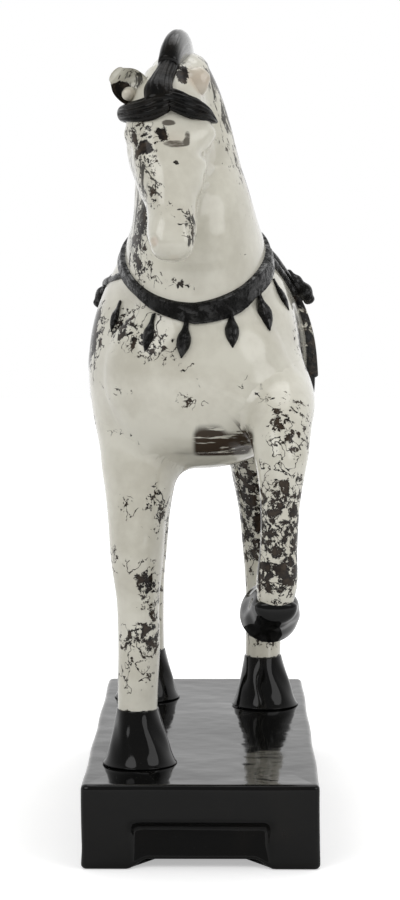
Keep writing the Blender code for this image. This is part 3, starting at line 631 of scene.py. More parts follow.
def dent(points, table):
    """Moves points along their normals by a sum of bell curves: height times exp(-(d/size)^2)."""
    push = np.zeros(points.shape[:2])
    for centre, size, height in table:
        d = (points - np.array(centre) * MM) / (np.array(size) * MM)
        push += height * MM * np.exp(-(d**2).sum(-1))
    return points + grid_normals(points) * push[..., None]


for name, points in skins.items():
    skins[name] = dent(points, FACE_DENTS if name == "head" else BODY_DENTS)
print("dents pressed:", len(BODY_DENTS), "on the body,", len(FACE_DENTS), "on the face")

# %% [markdown]
# The cream glaze is worn, and dark slip shows through it. How much of it shows is painted onto the skin as
# numbers, each one a sum of soft patches: wear for flakes and twigs, and for a painted shade in the hollow
# of the right ear, brushed for streaks, scratched for slanted scratches, smudged for wiped slip, bare for
# a square patch that the glaze missed, and blush for warm ears and muzzle. The finish turns these numbers
# into sharp edges, so the flakes themselves are plain noise. An image painted by hand could say where,
# too, but a mesh with numbers needs no unwrapping.

# %% Where the glaze is worn
WEAR_AND_EAR_SHADE = (
    ((46, -155, 194), (30, 34, 46), 1.12),
    ((52, -150, 258), (22, 40, 24), 0.82),
    ((44, -152, 168), (24, 24, 12), 0.2),
    ((40, 84, 190), (40, 60, 56), 1.15),
    ((41, 96, 115), (26, 34, 26), 0.62),
    ((41, 82, 94), (14, 20, 8), 0.8),
    ((-40, 108, 190), (40, 60, 56), 0.95),
    ((-41, 122, 115), (26, 34, 26), 0.62),
    ((-46, -118, 207), (8, 16, 9), 0.86),
    ((-26, -112, 205), (7, 22, 20), 0.9),
    ((-33, -120, 166), (12, 16, 12), 0.86),
    ((-29, -118, 148), (14, 18, 16), 0.84),
    ((-36, -120, 126), (20, 20, 11), 1.0),
    ((-38, -120, 104), (22, 20, 12), 0.8),
    ((-40, -92, 130), (24, 10, 60), 0.95),
    ((-52, -112, 176), (6, 20, 9), 0.75),
    ((-33, -136, 426), (12, 30, 10), 1.12),
    ((-31, -140, 414), (8, 30, 7), 0.95),
    ((-25, -150, 393), (5, 24, 8), 0.9),
    ((-8, -165, 372), (4, 24, 13), 0.72),
    ((-14.5, -150, 410), (2.6, 12, 2.2), 1.15),
    ((-21, -145, 428), (5, 24, 7), 0.8),
    ((-34, -120, 383), (9, 22, 16), 1.0),
    ((-41, -122, 360), (11, 28, 16), 1.0),
    ((-38, -136, 345), (16, 22, 10), 1.0),
    ((-14, -146, 339), (15, 16, 7), 1.2),
    ((-50, -130, 318), (14, 28, 15), 1.2),
    ((-26, -146, 304), (21, 28, 15), 1.0),
    ((-66, -100, 318), (9, 34, 28), 1.1),
    ((-70, -64, 290), (9, 50, 50), 0.6),
    ((-68, -62, 250), (9, 44, 24), 0.7),
    ((66, -60, 272), (9, 44, 40), 0.6),
    ((60, -82, 300), (9, 26, 28), 1.0),
    ((-6, -150, 274), (15, 20, 6), 0.95),
    ((60, 20, 240), (24, 70, 28), 0.75),
    ((-60, 20, 240), (24, 70, 28), 0.75),
    ((0, 140, 300), (80, 36, 66), 0.8),
    ((56, 90, 276), (30, 46, 44), 0.8),
    ((-56, 100, 276), (30, 46, 44), 0.8),
    # The next two patches darken the hollow of the right ear: painted shade, laid over its worn glaze.
    ((-49, -113, 451), (11, 5.5, 9), 2.0),
    ((-54, -120, 452), (5, 8, 7), 1.4),
    ((-40, -122, 462), (10, 10, 5), 0.9),
    ((-11, -110, 463), (5, 20, 9), 1.4),
    ((-38.8, -110, 82), (20, 20, 2.6), 1.6),
    ((40, 81, 82), (20, 20, 2.6), 1.6),
    ((-40, 107, 82), (20, 20, 2.6), 1.6),
)
BARE_SLIP = (
    ((12.5, -130, 245), (17.5, 34, 8.5), 1.3),
    ((33, -126, 250), (9, 26, 9), 0.6),
)
SMUDGES = (
    ((-15, -147, 421.5), (9.5, 24, 2.8), 0.95),
    ((-8, -146, 426), (2.6, 24, 5.5), 0.85),
    ((-19, -144, 434), (5.5, 24, 2.6), 1.05),
    ((-13, -172, 353), (7, 16, 2.2), 0.9),
)
BRUSHED = (
    ((8, -82, 456), (17, 24, 24), 1.1),
    ((18, -92, 425), (12, 40, 24), 1.0),
    ((27, -94, 396), (8, 36, 22), 0.9),
    ((2, -70, 470), (20, 30, 18), 1.0),
    ((-32, -84, 455), (9, 34, 26), 0.95),
    ((-36, -128, 400), (9, 34, 34), 0.95),
    ((-46, -108, 370), (12, 30, 24), 0.9),
    ((-68, -64, 300), (8, 40, 70), 0.8),
    ((-42, -119, 460), (11, 10, 9), 0.9),
    ((-6, -164, 375), (4.5, 24, 15), 1.1),
)
SCRATCHED = (
    ((-34, -142, 400), (12, 34, 17), 0.78),
    ((-24, -150, 386), (8, 24, 15), 0.7),
    ((-32, -128, 372), (10, 30, 16), 0.7),
    ((-40, -122, 350), (14, 30, 12), 0.6),
)
BLUSH = (
    ((-2, -112, 460), (12, 14, 12), 0.52),
    ((-15, -172, 354), (9, 12, 5), 0.5),
    ((-26.5, -168, 365), (3.4, 8, 4), 0.62),
    ((-45, -120, 455), (12, 12, 12), 0.4),
    ((-14, -140, 425), (12, 14, 10), 0.4),
    ((-16, -140, 236), (14, 18, 10), 0.45),
)
PAINTS = {
    "wear": WEAR_AND_EAR_SHADE,
    "brushed": BRUSHED,
    "bare": BARE_SLIP,
    "smudged": SMUDGES,
    "scratched": SCRATCHED,
    "blush": BLUSH,
}
SQUARE_POWER = 10
MOST_PAINT = 2.0


def painted(points, patches, square=False):
    """A sum of flat-topped bells round each place, weight times exp(-(d/size)^4), held below a most.
    A square patch has a bell of a higher power in each direction instead."""
    total = np.zeros(points.shape[:-1])
    for centre, size, weight in patches:
        d = (points - np.array(centre) * MM) / (np.array(size) * MM)
        fall = (d**SQUARE_POWER).sum(-1) if square else (d**2).sum(-1) ** 2
        total += weight * np.exp(-fall)
    return np.minimum(total, MOST_PAINT)


print("painted patches:", {label: len(patches) for label, patches in PAINTS.items()})

# %% [markdown]
# The cream glaze itself: a warm off-white that drifts a little, dark flakes with crisp edges, fine twigs
# where a noise crosses its middle value, streaks drawn out downwards, slanted scratches and smudges. All
# the dark parts are slightly sunk. A clear coat lies over the cream and nearly ends at the dark parts, so
# they stay black instead of turning grey under the lamps.

# %% Cream glaze
CREAM = rgb(0.68, 0.66, 0.57)
CREAM_GREY = rgb(0.58, 0.555, 0.47)
CREAM_PINK = rgb(0.60, 0.47, 0.36)
SLIP = rgb(0.012, 0.010, 0.009)
SLIP_BROWN = rgb(0.05, 0.036, 0.025)
FLAKE_SHARE = 0.26
FLAKE_EDGE = (0.755, 0.777)
TWIG_SHARE = 0.20
TWIG_GATE = (0.62, 0.66)
TWIG_WIDTH = (0.006, 0.018)
STREAK_SHARE = 0.24
STREAK_EDGE = (0.74, 0.80)
SCRATCH_EDGE = (0.75, 0.79)
SCRATCH_SLANT = 0.64
BARE_EDGE = (0.2, 1.0)
COMBED_EDGE = (0.56, 0.64)
SMEAR_EDGE = (0.5, 0.76)
CREAM_DEPTH = 0.45
CREAM_COAT = {"IOR": 1.22, "Coat_IOR": 1.44, "Coat_Roughness": 0.14}


def cream_glaze():
    material, place = begin("cream_glaze_worn")
    wear, brushed, bare, smudged, scratched, blush = (place.attribute(label) for label in PAINTS)
    drift = place.noise(34, 3, 0.6)
    fine = place.noise(5, 4, 0.6)
    clouds = (drift * 0.75 + fine * 0.25).rise(0.36, 0.66).blend(CREAM, CREAM_GREY)
    warm = (blush * (0.55 + drift)).rise(0.25, 1.0).blend(clouds, CREAM_PINK)
    leafy = place.noise(6.0, 6, 0.7, 0.3)
    # Flakes follow the wear numbers, which in the right ear's hollow are a painted shade.
    flakes = (leafy + wear * FLAKE_SHARE).rise(*FLAKE_EDGE)
    ridges = abs(place.noise(11, 3, 0.52, 0.4) - 0.5)
    gate = (place.noise(22, 3, 0.6) + wear * TWIG_SHARE).rise(*TWIG_GATE)
    twigs = (1 - ridges.rise(*TWIG_WIDTH)) * gate
    drawn = place.stretched(1.0, 1.0, 0.14).noise(3.0, 4, 0.66, 0.5)
    streaks = (drawn + brushed * STREAK_SHARE).rise(*STREAK_EDGE)
    slanted = place.turned(SCRATCH_SLANT).stretched(1.0, 0.5, 0.12).noise(2.0, 3, 0.6, 0.3)
    streaks = streaks.larger((slanted + scratched * STREAK_SHARE).rise(*SCRATCH_EDGE))
    combed_away = place.stretched(0.12, 0.5, 1.0).noise(2.4, 3, 0.6).rise(*COMBED_EDGE)
    slip = bare.rise(*BARE_EDGE) * (1 - 0.9 * combed_away)
    wiped = place.stretched(0.2, 0.5, 1.0).noise(3, 4, 0.65)
    smear = (smudged * (0.34 + wiped)).rise(*SMEAR_EDGE) * 0.85
    slip = slip.larger(smear)
    dark = flakes.larger(twigs).larger(streaks * 0.9).larger(slip)
    brown = place.noise(6, 3).rise(0.45, 0.75).larger(slip)
    tint = brown.blend(SLIP, SLIP_BROWN)
    colour = dark.blend(warm, tint)
    roughness = 0.07 + dark * 0.05 + fine * 0.05
    relief = place.noise(22, 2) * 0.6 - dark * 0.35 + fine * 0.12
    whole = 1 - dark * 0.85
    glazed(place, colour, roughness, relief, CREAM_DEPTH, Coat_Weight=whole, **CREAM_COAT)
    return material


CREAM_GLAZE = cream_glaze()
print("finish:", CREAM_GLAZE.name)

# %% [markdown]
# Black glaze is dipped, so it pools in slow ripples that bend every reflection. The hair has the same
# black, with a clear coat along the crest's right side, where the black is also lightened to grey as a
# painted sheen. The harness is a drier black that has pitted in the firing and shines only in patches.
# The saddle cloth is black rubbed through to cream, most of all along its hem. The dowels inside are
# brushed steel.

# %% Black glazes, cloth and steel
BLACK = rgb(0.004, 0.004, 0.0038)
BLACK_WARM = rgb(0.012, 0.010, 0.008)
PAINTED_SHEEN_GREY = rgb(0.21, 0.21, 0.205)
SATIN_BLACK = rgb(0.005, 0.0048, 0.0045)
SATIN_GREY = rgb(0.016, 0.015, 0.014)
STEEL_LIGHT = rgb(0.56, 0.56, 0.57)
STEEL_DARK = rgb(0.32, 0.32, 0.33)
RIPPLE_DEPTH = 0.75
HAIR_DEPTH = 0.6
PIT_DEPTH = 2.2
CLOTH_DEPTH = 1.6
BRUSH_DEPTH = 0.05
HAIR_COAT = {"IOR": 1.22, "Coat_IOR": 1.9, "Coat_Roughness": 0.2}
SATIN_COAT = {"IOR": 1.16, "Coat_IOR": 1.38, "Coat_Roughness": 0.14}


def black_glaze():
    material, place = begin("black_glaze_rippled")
    slow = place.noise(30, 2, 0.45)
    pinholes = place.noise(1.6, 2, 0.6).rise(0.72, 0.80)
    colour = (slow * 0.7 + pinholes * 0.3).rise(0.35, 0.8).blend(BLACK, BLACK_WARM)
    roughness = 0.06 + place.noise(14, 3).rise(0.4, 0.75) * 0.07 + pinholes * 0.2
    relief = slow + place.noise(9, 2) * 0.06 - pinholes * 0.06
    glazed(place, colour, roughness, relief, RIPPLE_DEPTH, IOR=1.3)
    return material


def hair_glaze():
    material, place = begin("hair_glaze_combed")
    clear = place.attribute("clear")
    slow = place.noise(12, 3, 0.5)
    fine = place.noise(3, 3, 0.6)
    colour = (slow * 0.6 + fine * 0.4).rise(0.4, 0.7).blend(BLACK, BLACK_WARM)
    # The crest's right side is blended towards a paler grey: a painted sheen, where a real clear coat also
    # lies.
    colour = (clear * (0.6 + 0.4 * slow)).rise(0.1, 1.0).blend(colour, PAINTED_SHEEN_GREY)
    roughness = 0.05 + slow.rise(0.4, 0.7) * 0.08
    relief = slow + fine * 0.15
    glazed(place, colour, roughness, relief, HAIR_DEPTH, Coat_Weight=clear, **HAIR_COAT)
    return material


def satin_black():
    material, place = begin("satin_black_pitted")
    pits = place.noise(2.4, 4, 0.65)
    patches = place.noise(10, 3, 0.6)
    rub = (pits * 0.5 + patches * 0.5).rise(0.50, 0.68)
    colour = rub.blend(SATIN_BLACK, SATIN_GREY)
    roughness = 0.08 + rub * 0.16
    gloss = place.noise(5, 4, 0.62, 0.5).rise(0.45, 0.62)
    relief = pits + patches * 0.8
    glazed(place, colour, roughness, relief, PIT_DEPTH, Coat_Weight=gloss, **SATIN_COAT)
    return material


def mottled_cloth():
    material, place = begin("mottled_cloth_glaze")
    wear = place.attribute("wear")
    leafy = place.noise(11, 5, 0.64, 1.1)
    fine = place.noise(4, 3, 0.6)
    cream = (leafy + wear * 0.34).rise(0.72, 0.76)
    pale = fine.rise(0.3, 0.7).blend(CREAM, CREAM_GREY)
    dark = fine.rise(0.45, 0.7).blend(SATIN_BLACK, SLIP_BROWN)
    colour = cream.blend(dark, pale)
    roughness = 0.28 - cream * 0.08 + fine * 0.1
    glazed(place, colour, roughness, leafy + fine * 0.5, CLOTH_DEPTH, IOR=1.35)
    return material


def brushed_steel():
    material, place = begin("brushed_steel")
    brushed = place.stretched(1.0, 1.0, 0.05).noise(1.2, 3, 0.6)
    colour = brushed.rise(0.3, 0.7).blend(STEEL_LIGHT, STEEL_DARK)
    glazed(place, colour, 0.28 + brushed * 0.2, brushed, BRUSH_DEPTH, Metallic=1.0)
    return material


BLACK_GLAZE = black_glaze()
HAIR_GLAZE = hair_glaze()
SATIN = satin_black()
CLOTH = mottled_cloth()
STEEL = brushed_steel()
print("finishes:", BLACK_GLAZE.name, HAIR_GLAZE.name, SATIN.name, CLOTH.name, STEEL.name)

# %% [markdown]
# A grid of points becomes a mesh in one step: neighbouring rows and columns share corners, and each
# end is closed by a fan round one middle point. The sign of the enclosed volume tells whether the
# faces look outwards, so a grid that was turned the other way is put right here.


# %% From grids to pieces
def grid_faces(rows, columns, wrap_rows=False):
    """Four-cornered faces between neighbouring rows; columns always close into a ring."""
    index = np.arange(rows * columns).reshape(rows, columns)
    ahead = np.roll(index, -1, axis=1)
    if wrap_rows:
        lower, lower_ahead = np.roll(index, -1, axis=0), np.roll(ahead, -1, axis=0)
        quads = np.stack([index, ahead, lower_ahead, lower], -1)
    else:
        quads = np.stack([index[:-1], ahead[:-1], ahead[1:], index[1:]], -1)
    return quads.reshape(-1, 4)


def fans(rows, columns):
    """Triangles from the first and last rows to the two middle points that follow the grid."""
    first = np.arange(columns)
    last = first + (rows - 1) * columns
    start = np.full(columns, rows * columns)
    near = np.stack([np.roll(first, -1), first, start], -1)
    far = np.stack([last, np.roll(last, -1), start + 1], -1)
    return np.concatenate([near, far])


def enclosed(points, quads):
    """Six times the volume inside, from the triple products of each face's corners."""
    a, b, c, d = (points[quads[:, k]] for k in range(4))
    return (np.cross(a, b) * c).sum() + (np.cross(a, c) * d).sum()


def build(name, points, faces, material, nodes, paints):
    """Makes the mesh, paints its numbers and lets it ride on the body in place of the named solids."""
    mesh = bpy.data.meshes.new(name)
    mesh.from_pydata(points.tolist(), [], faces)
    mesh.polygons.foreach_set("use_smooth", np.ones(len(mesh.polygons), bool))
    for label, patches in paints.items():
        amount = painted(points, patches, square=label == "bare")
        mesh.attributes.new(label, "FLOAT", "POINT").data.foreach_set("value", amount)
    mesh.materials.append(material)
    made = bpy.data.objects.new(name, mesh)
    scene.collection.objects.link(made)
    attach(made, "root")
    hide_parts(*nodes)
    return made


def piece(name, points, material, slot, nodes, ring=False, **paints):
    """Closes a grid into a piece; a ring closes on itself and other grids end in fans."""
    rows, columns = points.shape[:2]
    flat = points.reshape(-1, 3)
    quads = grid_faces(rows, columns, ring)
    order = -1 if enclosed(flat, quads) < 0 else 1
    faces = quads[:, ::order].tolist()
    if not ring:
        flat = np.concatenate([flat, points[:1].mean(1), points[-1:].mean(1)])
        faces += fans(rows, columns)[:, ::order].tolist()
    return build(name, flat, faces, material, nodes, paints)


def cream(name, points):
    return piece("glazed_" + name, points, CREAM_GLAZE, "cream_glaze", (name,), **PAINTS)


for name, points in skins.items():
    cream(name, points)
print("glazed castings:", len(skins))

# %% [markdown]
# The ears are rolled leaves of clay. The right one faces us, and its sections are crescents: the depth
# behind the spine is negative, so the back of the section bends into the hollow, where a small nub
# sits. The left one is turned away and is a plain leaf.

# %% Ears
EAR_RIGHT = Form((
    (-31, -112, 447, 6, 6, 6, 2.1),
    (-36, -116, 451, 9, 8.5, 0, 2.1),
    (-41.5, -119, 455.5, 10.4, 10, -7, 2.1),
    (-46.5, -120.5, 459.5, 9, 8.5, -6, 2.1),
    (-50, -120.5, 462.5, 5.6, 4, -1.5, 2.1),
), side=(-0.62, 0, -0.78), domes=(2, 3))
EAR_NUB = Form((
    (-41, -113, 453, 3.4, 3.4, 3.4),
    (-43, -118, 451.5, 4.2, 4.2, 4.2),
    (-43.7, -121, 451, 3.4, 3.4, 3.4),
), domes=(1, 2.4))
EAR_LEFT = Form((
    (-13, -107, 450.5, 6, 6, 5, 2),
    (-9, -110.5, 454, 8, 6.5, 4.6, 2),
    (-5, -112, 457.8, 8.6, 6, 4.4, 2),
    (-1.5, -112, 461.2, 7.6, 5, 4, 2),
    (0.8, -111.5, 463.4, 5.6, 3.6, 3, 2),
), side=(-0.72, 0, 0.69), domes=(2, 3))
EAR_GRID = (60, 64)
NUB_GRID = (30, 40)
NUB_BLUSH = (
    ((-43, -120, 451), (8, 8, 8), 0.5),
)


def lofted(form, rows, around):
    """The plain loft: spine plus arm at every stop."""
    spine, arm = form.grid(rows, around)[:2]
    return spine + arm


cream("ear_right", lofted(EAR_RIGHT, *EAR_GRID))
cream("ear_left", lofted(EAR_LEFT, *EAR_GRID))
nub = lofted(EAR_NUB, *NUB_GRID)
piece("glazed_ear_nub", nub, CREAM_GLAZE, "cream_glaze", ("ear_right",), blush=NUB_BLUSH)
print("ears: 2")

# %% [markdown]
# Mane, forelock and tail were combed in the wet clay with a toothed tool. The comb leaves rounded
# strands with sharp valleys between them, which is the shape of the absolute value of a sine. The
# phase drifts along the lock, so that strands lean and cross the way hair does.

# %% Combed mane, forelock and tail
MANE = Form((
    (-5, -55, 391, 4.5, 6, 3, 2.2),
    (-7, -54, 411, 6, 8, 6, 2.2),
    (-9.5, -56, 434, 7.5, 9, 8, 2.2),
    (-11.5, -65, 457, 8.0, 10, 9.5, 2.2),
    (-13, -82, 477.4, 8.0, 11, 11.2, 2.2),
    (-14.5, -97, 479.9, 7.8, 11, 11.2, 2.2),
    (-17.5, -109, 475.5, 7.2, 9.5, 9.5, 2.3),
    (-19.5, -116, 469, 6.4, 6.5, 7.0, 2.5),
), domes=(8, 2.5))
FORELOCK_RIGHT_LOCK = Form((
    (-18, -133, 449, 6.5, 5, 5),
    (-24.5, -136, 445, 7.4, 6.5, 5),
    (-30, -135.5, 441.8, 7.6, 6.5, 5),
    (-36, -132, 440.6, 7.0, 6.2, 5),
    (-42, -125.5, 440.2, 6.2, 5.6, 4.5),
    (-45.5, -119, 440, 5.2, 4.6, 4),
), side=(0, 0, 1), domes=(3, 3))
FORELOCK_LEFT_LOCK = Form((
    (-22, -133, 449, 6, 5, 5),
    (-15.5, -136, 447, 6.6, 6.2, 5),
    (-9.5, -136, 444.2, 6.4, 6.2, 5),
    (-3.6, -132.5, 442, 6.4, 5.6, 5),
    (1.6, -127.5, 439.7, 5, 4.8, 4.4),
    (5.4, -121.5, 437.2, 3.2, 3.4, 3.2),
    (8.4, -116, 435.4, 1.2, 1.4, 1.4),
), side=(0, 0, 1), domes=(3, 1))
FORELOCK_STEM = Form((
    (-18.8, -113, 471.5, 6, 7, 6),
    (-20.5, -118, 465.5, 6, 6.5, 6),
    (-23.6, -126.5, 458, 7.2, 7, 6),
    (-24.8, -133, 453, 8.8, 6.5, 5.5),
    (-24, -137, 448, 9, 5.5, 5),
), domes=(4, 4))
TAIL = Form((
    (-1, 132, 330, 8, 8, 8),
    (-1, 150, 336, 8.5, 8.5, 8.5),
    (-1, 161, 322, 10, 9, 9),
    (-2, 162, 296, 11.5, 10, 10),
    (-3, 158, 270, 9, 8, 8),
    (-3, 152, 252, 5, 5, 5),
), domes=(0, 6))
STRAND_POWER = 1.5
STRAND_WANDER = 0.5
STRAND_BENDS = 5
STRAND_TWIST = 2
STRAND_FADE = 6 * MM
PATCHY_LEAST = 0.55
PATCHES_ALONG = 7
PATCHES_ROUND = 3
LEAST_LOCK = 0.6
# Where the crest's right side gets a clear coat and a paler grey, which is a painted sheen.
CREST_COAT_AND_PAINTED_SHEEN = (
    ((-5, -85, 482), (11, 60, 26), 1.0),
)
LOCKS = (
    ("combed_mane", "mane_crest", MANE, (150, 160), (14, 0.22, 2.2)),
    ("combed_forelock_right", "forelock", FORELOCK_RIGHT_LOCK, (110, 120), (10, 1.5, 1.6)),
    ("combed_forelock_left", "forelock", FORELOCK_LEFT_LOCK, (110, 120), (10, 1.5, -1.6)),
    ("combed_forelock_stem", "forelock", FORELOCK_STEM, (70, 120), (12, 0.5, 0.8)),
    ("combed_tail", "tail", TAIL, (120, 120), (16, 1.0, 3.0)),
)


def combed(form, rows, around, strands, groove, lean):
    """A loft whose arms shorten by groove times (1 - |sin(strands/2 * angle + drift)|)."""
    spine, arm, share, turns = form.grid(rows, around)
    drift = lean * share + STRAND_WANDER * np.sin(STRAND_BENDS * share + STRAND_TWIST * np.cos(turns))
    valley = 1 - np.abs(np.sin(0.5 * strands * turns + drift))
    ends = soft_step(np.minimum(share, 1 - share) * form.length, 0.0, STRAND_FADE)
    patchy = np.sin(PATCHES_ALONG * share + PATCHES_ROUND * turns) ** 2
    patchy = PATCHY_LEAST + (1 - PATCHY_LEAST) * patchy
    depth = groove * MM * ends * valley**STRAND_POWER * patchy
    length = np.linalg.norm(arm, axis=-1)
    shorter = np.maximum(length - depth, LEAST_LOCK * length) / length
    return spine + arm * shorter[..., None]


for name, node, form, grid, comb in LOCKS:
    piece(name, combed(form, *grid, *comb), HAIR_GLAZE, "black_glaze", (node,), clear=CREST_COAT_AND_PAINTED_SHEEN)
print("combed locks:", len(LOCKS))

# %% [markdown]
# Hooves flare from a coronet that fits the leg to a sole that is nearly twice as wide. A turned cone
# would do, but they were dipped: the coat is a little uneven, its rim overlaps the leg by a hair, and
# it pools into a lip on the plinth. So each one is a loft whose arms grow and shrink.

# %% Hooves
PLINTH_TOP = 50.0
CORONET = 83.0
CORONET_HALF = 12.6
SOLE_HALF = 21.5
FLARE = 1.15
HOOF_STEPS = np.array((0.0, 0.05, 0.3, 0.62, 0.88, 0.95, 0.985, 1.0))[:, None]
HOOF_SECTION = np.array((1.0, 1.03, 1.06))
SOLE_GAP = 0.3
PUDDLE = 1.1
PUDDLE_POWER = 16
COAT_UNEVEN = 0.42
COAT_RIPPLES = (
    (1.0, 3, 4),
    (0.6, 7, -6),
)
HOOF_GRID = (60, 96)
HOOF_FRONT_RIGHT = (-37.4, -111)


def standing_hoof(top, sole):
    """Sections from coronet to sole, whose half width grows as a power of the fall."""
    fall = HOOF_STEPS
    half = CORONET_HALF + (SOLE_HALF - CORONET_HALF) * fall**FLARE + PUDDLE * fall**PUDDLE_POWER
    start = np.array((*top, CORONET))
    end = np.array((*sole, PLINTH_TOP + SOLE_GAP))
    rows = np.concatenate([start + (end - start) * fall, half * HOOF_SECTION], axis=1)
    return Form(rows, heading=UP_AND_DOWN)


def dipped(form, rows, around):
    """A loft with a slightly uneven coat: the arm grows and shrinks by slow sines of turn and fall."""
    spine, arm, share, turns = form.grid(rows, around)
    length = np.linalg.norm(arm, axis=-1, keepdims=True)
    ripple = sum(tall * np.sin(across * turns + down * share) for tall, across, down in COAT_RIPPLES)
    wave = COAT_UNEVEN * MM * ripple * np.sin(share * np.pi)
    return spine + arm * (1 + wave[..., None] / length)


def black(name, points, nodes):
    return piece(name, points, BLACK_GLAZE, "black_glaze", nodes)


RAISED_HOOF = Form((
    (44, -151, 151.5, 12.6, 4.5, 10.5),
    (43.6, -146, 150.5, 13.8, 9, 12),
    (43, -137, 147.5, 15.2, 15.5, 13),
    (42, -128, 144.5, 16.6, 17.8, 15),
    (40.8, -118, 141.8, 17.9, 19.5, 17),
), domes=(6.5, 0.8))
HOOVES = {
    "hoof_front_right": standing_hoof((-38.8, -110), HOOF_FRONT_RIGHT),
    "hoof_hind_left": standing_hoof((40, 81), HOOF_HIND_LEFT),
    "hoof_hind_right": standing_hoof((-40, 107), HOOF_HIND_RIGHT),
    "hoof_front_left": RAISED_HOOF,
}
for name, form in HOOVES.items():
    black("glazed_" + name, dipped(form, *HOOF_GRID), (name,))
print("hooves:", len(HOOVES))

# %% [markdown]
# The plinth is one surface wrapped round a rounded rectangle. Walking once round its outline is the
# first parameter, and climbing from the underside over the edge to the middle of the top is the
# second. Panels sink between the corner feet, the underside lifts there, and nothing is quite
# straight, because a dipped slab never is.

# %% Plinth
PLINTH_HALF = np.array((70.0, 175.0))
CORNER = 4.0
FOOT_WIDTH = 30.0
FOOT_LIFT = 5.2
FOOT_SLOPE = 9.0
FOOT_ROUND = 2.6
PANEL_TOP = 26.0
PANEL_SINK = 6.0
PANEL_LEAN = (0.3, 0.9)
PLINTH_EDGE = 3.0
EDGE_STEPS = 8
SOFTEN = 3.2
UNDER_INSETS = np.array((60.0, 30.0, 26.0))
SOLE_INSET = 0.8
SIDE_CROWDING = 1.4
WALL_WOBBLE = 0.35
WOBBLE_ALONG = 17.0
WOBBLE_UP = 13.0
WOBBLE_TURN = 1.3
WOBBLE_FADE = 14.0
TOP_RIPPLES = (
    (0.22, 19, 31, 0.0),
    (0.18, -41, 23, 1.0),
)
TOP_SETTLE = 0.4
TOP_FADE = 0.25
TOP_MIDDLE = 0.985
TOP_CROWDING = 1.2
PLINTH_GRID = (480, 44, 48)


def plinth_outline(count):
    """Points and outward normals round a rounded rectangle, evenly spaced by arc length."""
    inner = PLINTH_HALF - CORNER
    sides = np.array((2 * inner[1], 0.5 * np.pi * CORNER, 2 * inner[0], 0.5 * np.pi * CORNER) * 2)
    starts = np.concatenate([[0.0], np.cumsum(sides)])
    walk = np.linspace(0, starts[-1], count, endpoint=False)
    part = np.clip(np.searchsorted(starts, walk, side="right") - 1, 0, len(sides) - 1)
    share = (walk - starts[part]) / sides[part]
    quarter = part // 2
    bend = np.where(part % 2 == 1, share, 0.0)
    angle = (quarter + bend) * 0.5 * np.pi
    normal = np.stack([np.cos(angle), np.sin(angle)], -1)
    corners = np.array(((1, -1), (1, 1), (-1, 1), (-1, -1))) * inner
    start, end = corners[quarter], corners[(quarter + 1) % len(corners)]
    straight = np.where(part % 2 == 0, share, 1.0)[:, None]
    return start + (end - start) * straight + normal * CORNER, normal


def plinth_side(edge, normal, rows):
    """Rows from the middle of the underside out to the sole, up the panel and round the edge."""
    facing = np.abs(normal[:, 0]) > 0.5
    along = np.where(facing, edge[:, 1], edge[:, 0])
    reach = np.where(facing, PLINTH_HALF[1], PLINTH_HALF[0]) - FOOT_WIDTH
    between = 1 - soft_step(np.abs(along), reach - SOFTEN, reach + SOFTEN)
    lift = FOOT_LIFT * (1 - soft_step(np.abs(along), reach - FOOT_SLOPE, reach + SOFTEN))
    level = np.zeros_like(lift)
    rise = np.linspace(0, 1, rows)[:, None] ** SIDE_CROWDING
    z_side = lift + (PLINTH_TOP - PLINTH_EDGE - lift) * rise
    lean = PANEL_SINK * (PANEL_LEAN[0] + PANEL_LEAN[1] * z_side / PANEL_TOP)
    sunk = lean * between * (1 - soft_step(z_side, PANEL_TOP - SOFTEN, PANEL_TOP + SOFTEN))
    low = np.clip(1 - (z_side - lift) / FOOT_ROUND, 0, 1)
    sunk = sunk + FOOT_ROUND * (1 - np.sqrt(1 - low**2))
    turn = np.linspace(0, 0.5 * np.pi, EDGE_STEPS)[1:, None]
    z_edge = PLINTH_TOP - PLINTH_EDGE * (1 - np.sin(turn)) + level
    in_edge = PLINTH_EDGE * (1 - np.cos(turn)) + level
    z_under = np.stack([level + FOOT_LIFT, level + FOOT_LIFT, lift])
    under_plan = edge * (1 - UNDER_INSETS[:, None, None] / PLINTH_HALF)
    under = np.concatenate([under_plan, z_under[..., None]], -1)
    z = np.concatenate([lift[None], z_side, z_edge])
    inset = np.concatenate([sunk[:1] + SOLE_INSET, sunk, in_edge])
    swing = np.sin(along / WOBBLE_ALONG + WOBBLE_TURN * normal[:, 0])
    wobble = WALL_WOBBLE * (1 + swing * np.cos(z / WOBBLE_UP))
    plan = edge - normal * (inset + wobble * soft_step(z, 0.0, WOBBLE_FADE))[..., None]
    return np.concatenate([under, np.concatenate([plan, z[..., None]], -1)])


def plinth_top(rim, rows):
    """Rows from the rim to the middle: the rim shrinks, and slow ripples begin a little inside it."""
    plan = rim * (1 - np.linspace(0, TOP_MIDDLE, rows)[1:, None, None] ** TOP_CROWDING)
    x, y = plan[..., 0], plan[..., 1]
    ripple = -TOP_SETTLE
    for tall, across, ahead, phase in TOP_RIPPLES:
        ripple = ripple + tall * np.sin(x / across + y / ahead + phase)
    fade = soft_step(np.linspace(0, 1, rows)[1:, None], 0, TOP_FADE)
    return np.concatenate([plan, (PLINTH_TOP + ripple * fade)[..., None]], -1)


def plinth_surface(count, side_rows, top_rows):
    edge, normal = plinth_outline(count)
    side = plinth_side(edge, normal, side_rows)
    return np.concatenate([side, plinth_top(side[-1:, :, :2], top_rows)]) * MM


slab = plinth_surface(*PLINTH_GRID)
black("glazed_plinth", slab, ("plinth",))
print("plinth rows and columns:", slab.shape[:2])

# %% [markdown]
# Everything that lies on the horse is made from the skin itself. To lay a point, start outside and walk
# along a line by most of the distance that is still left to the skin; a few dozen steps land on it. A
# shrinkwrap modifier would take the nearest point instead, which bunches points up in the hollows.

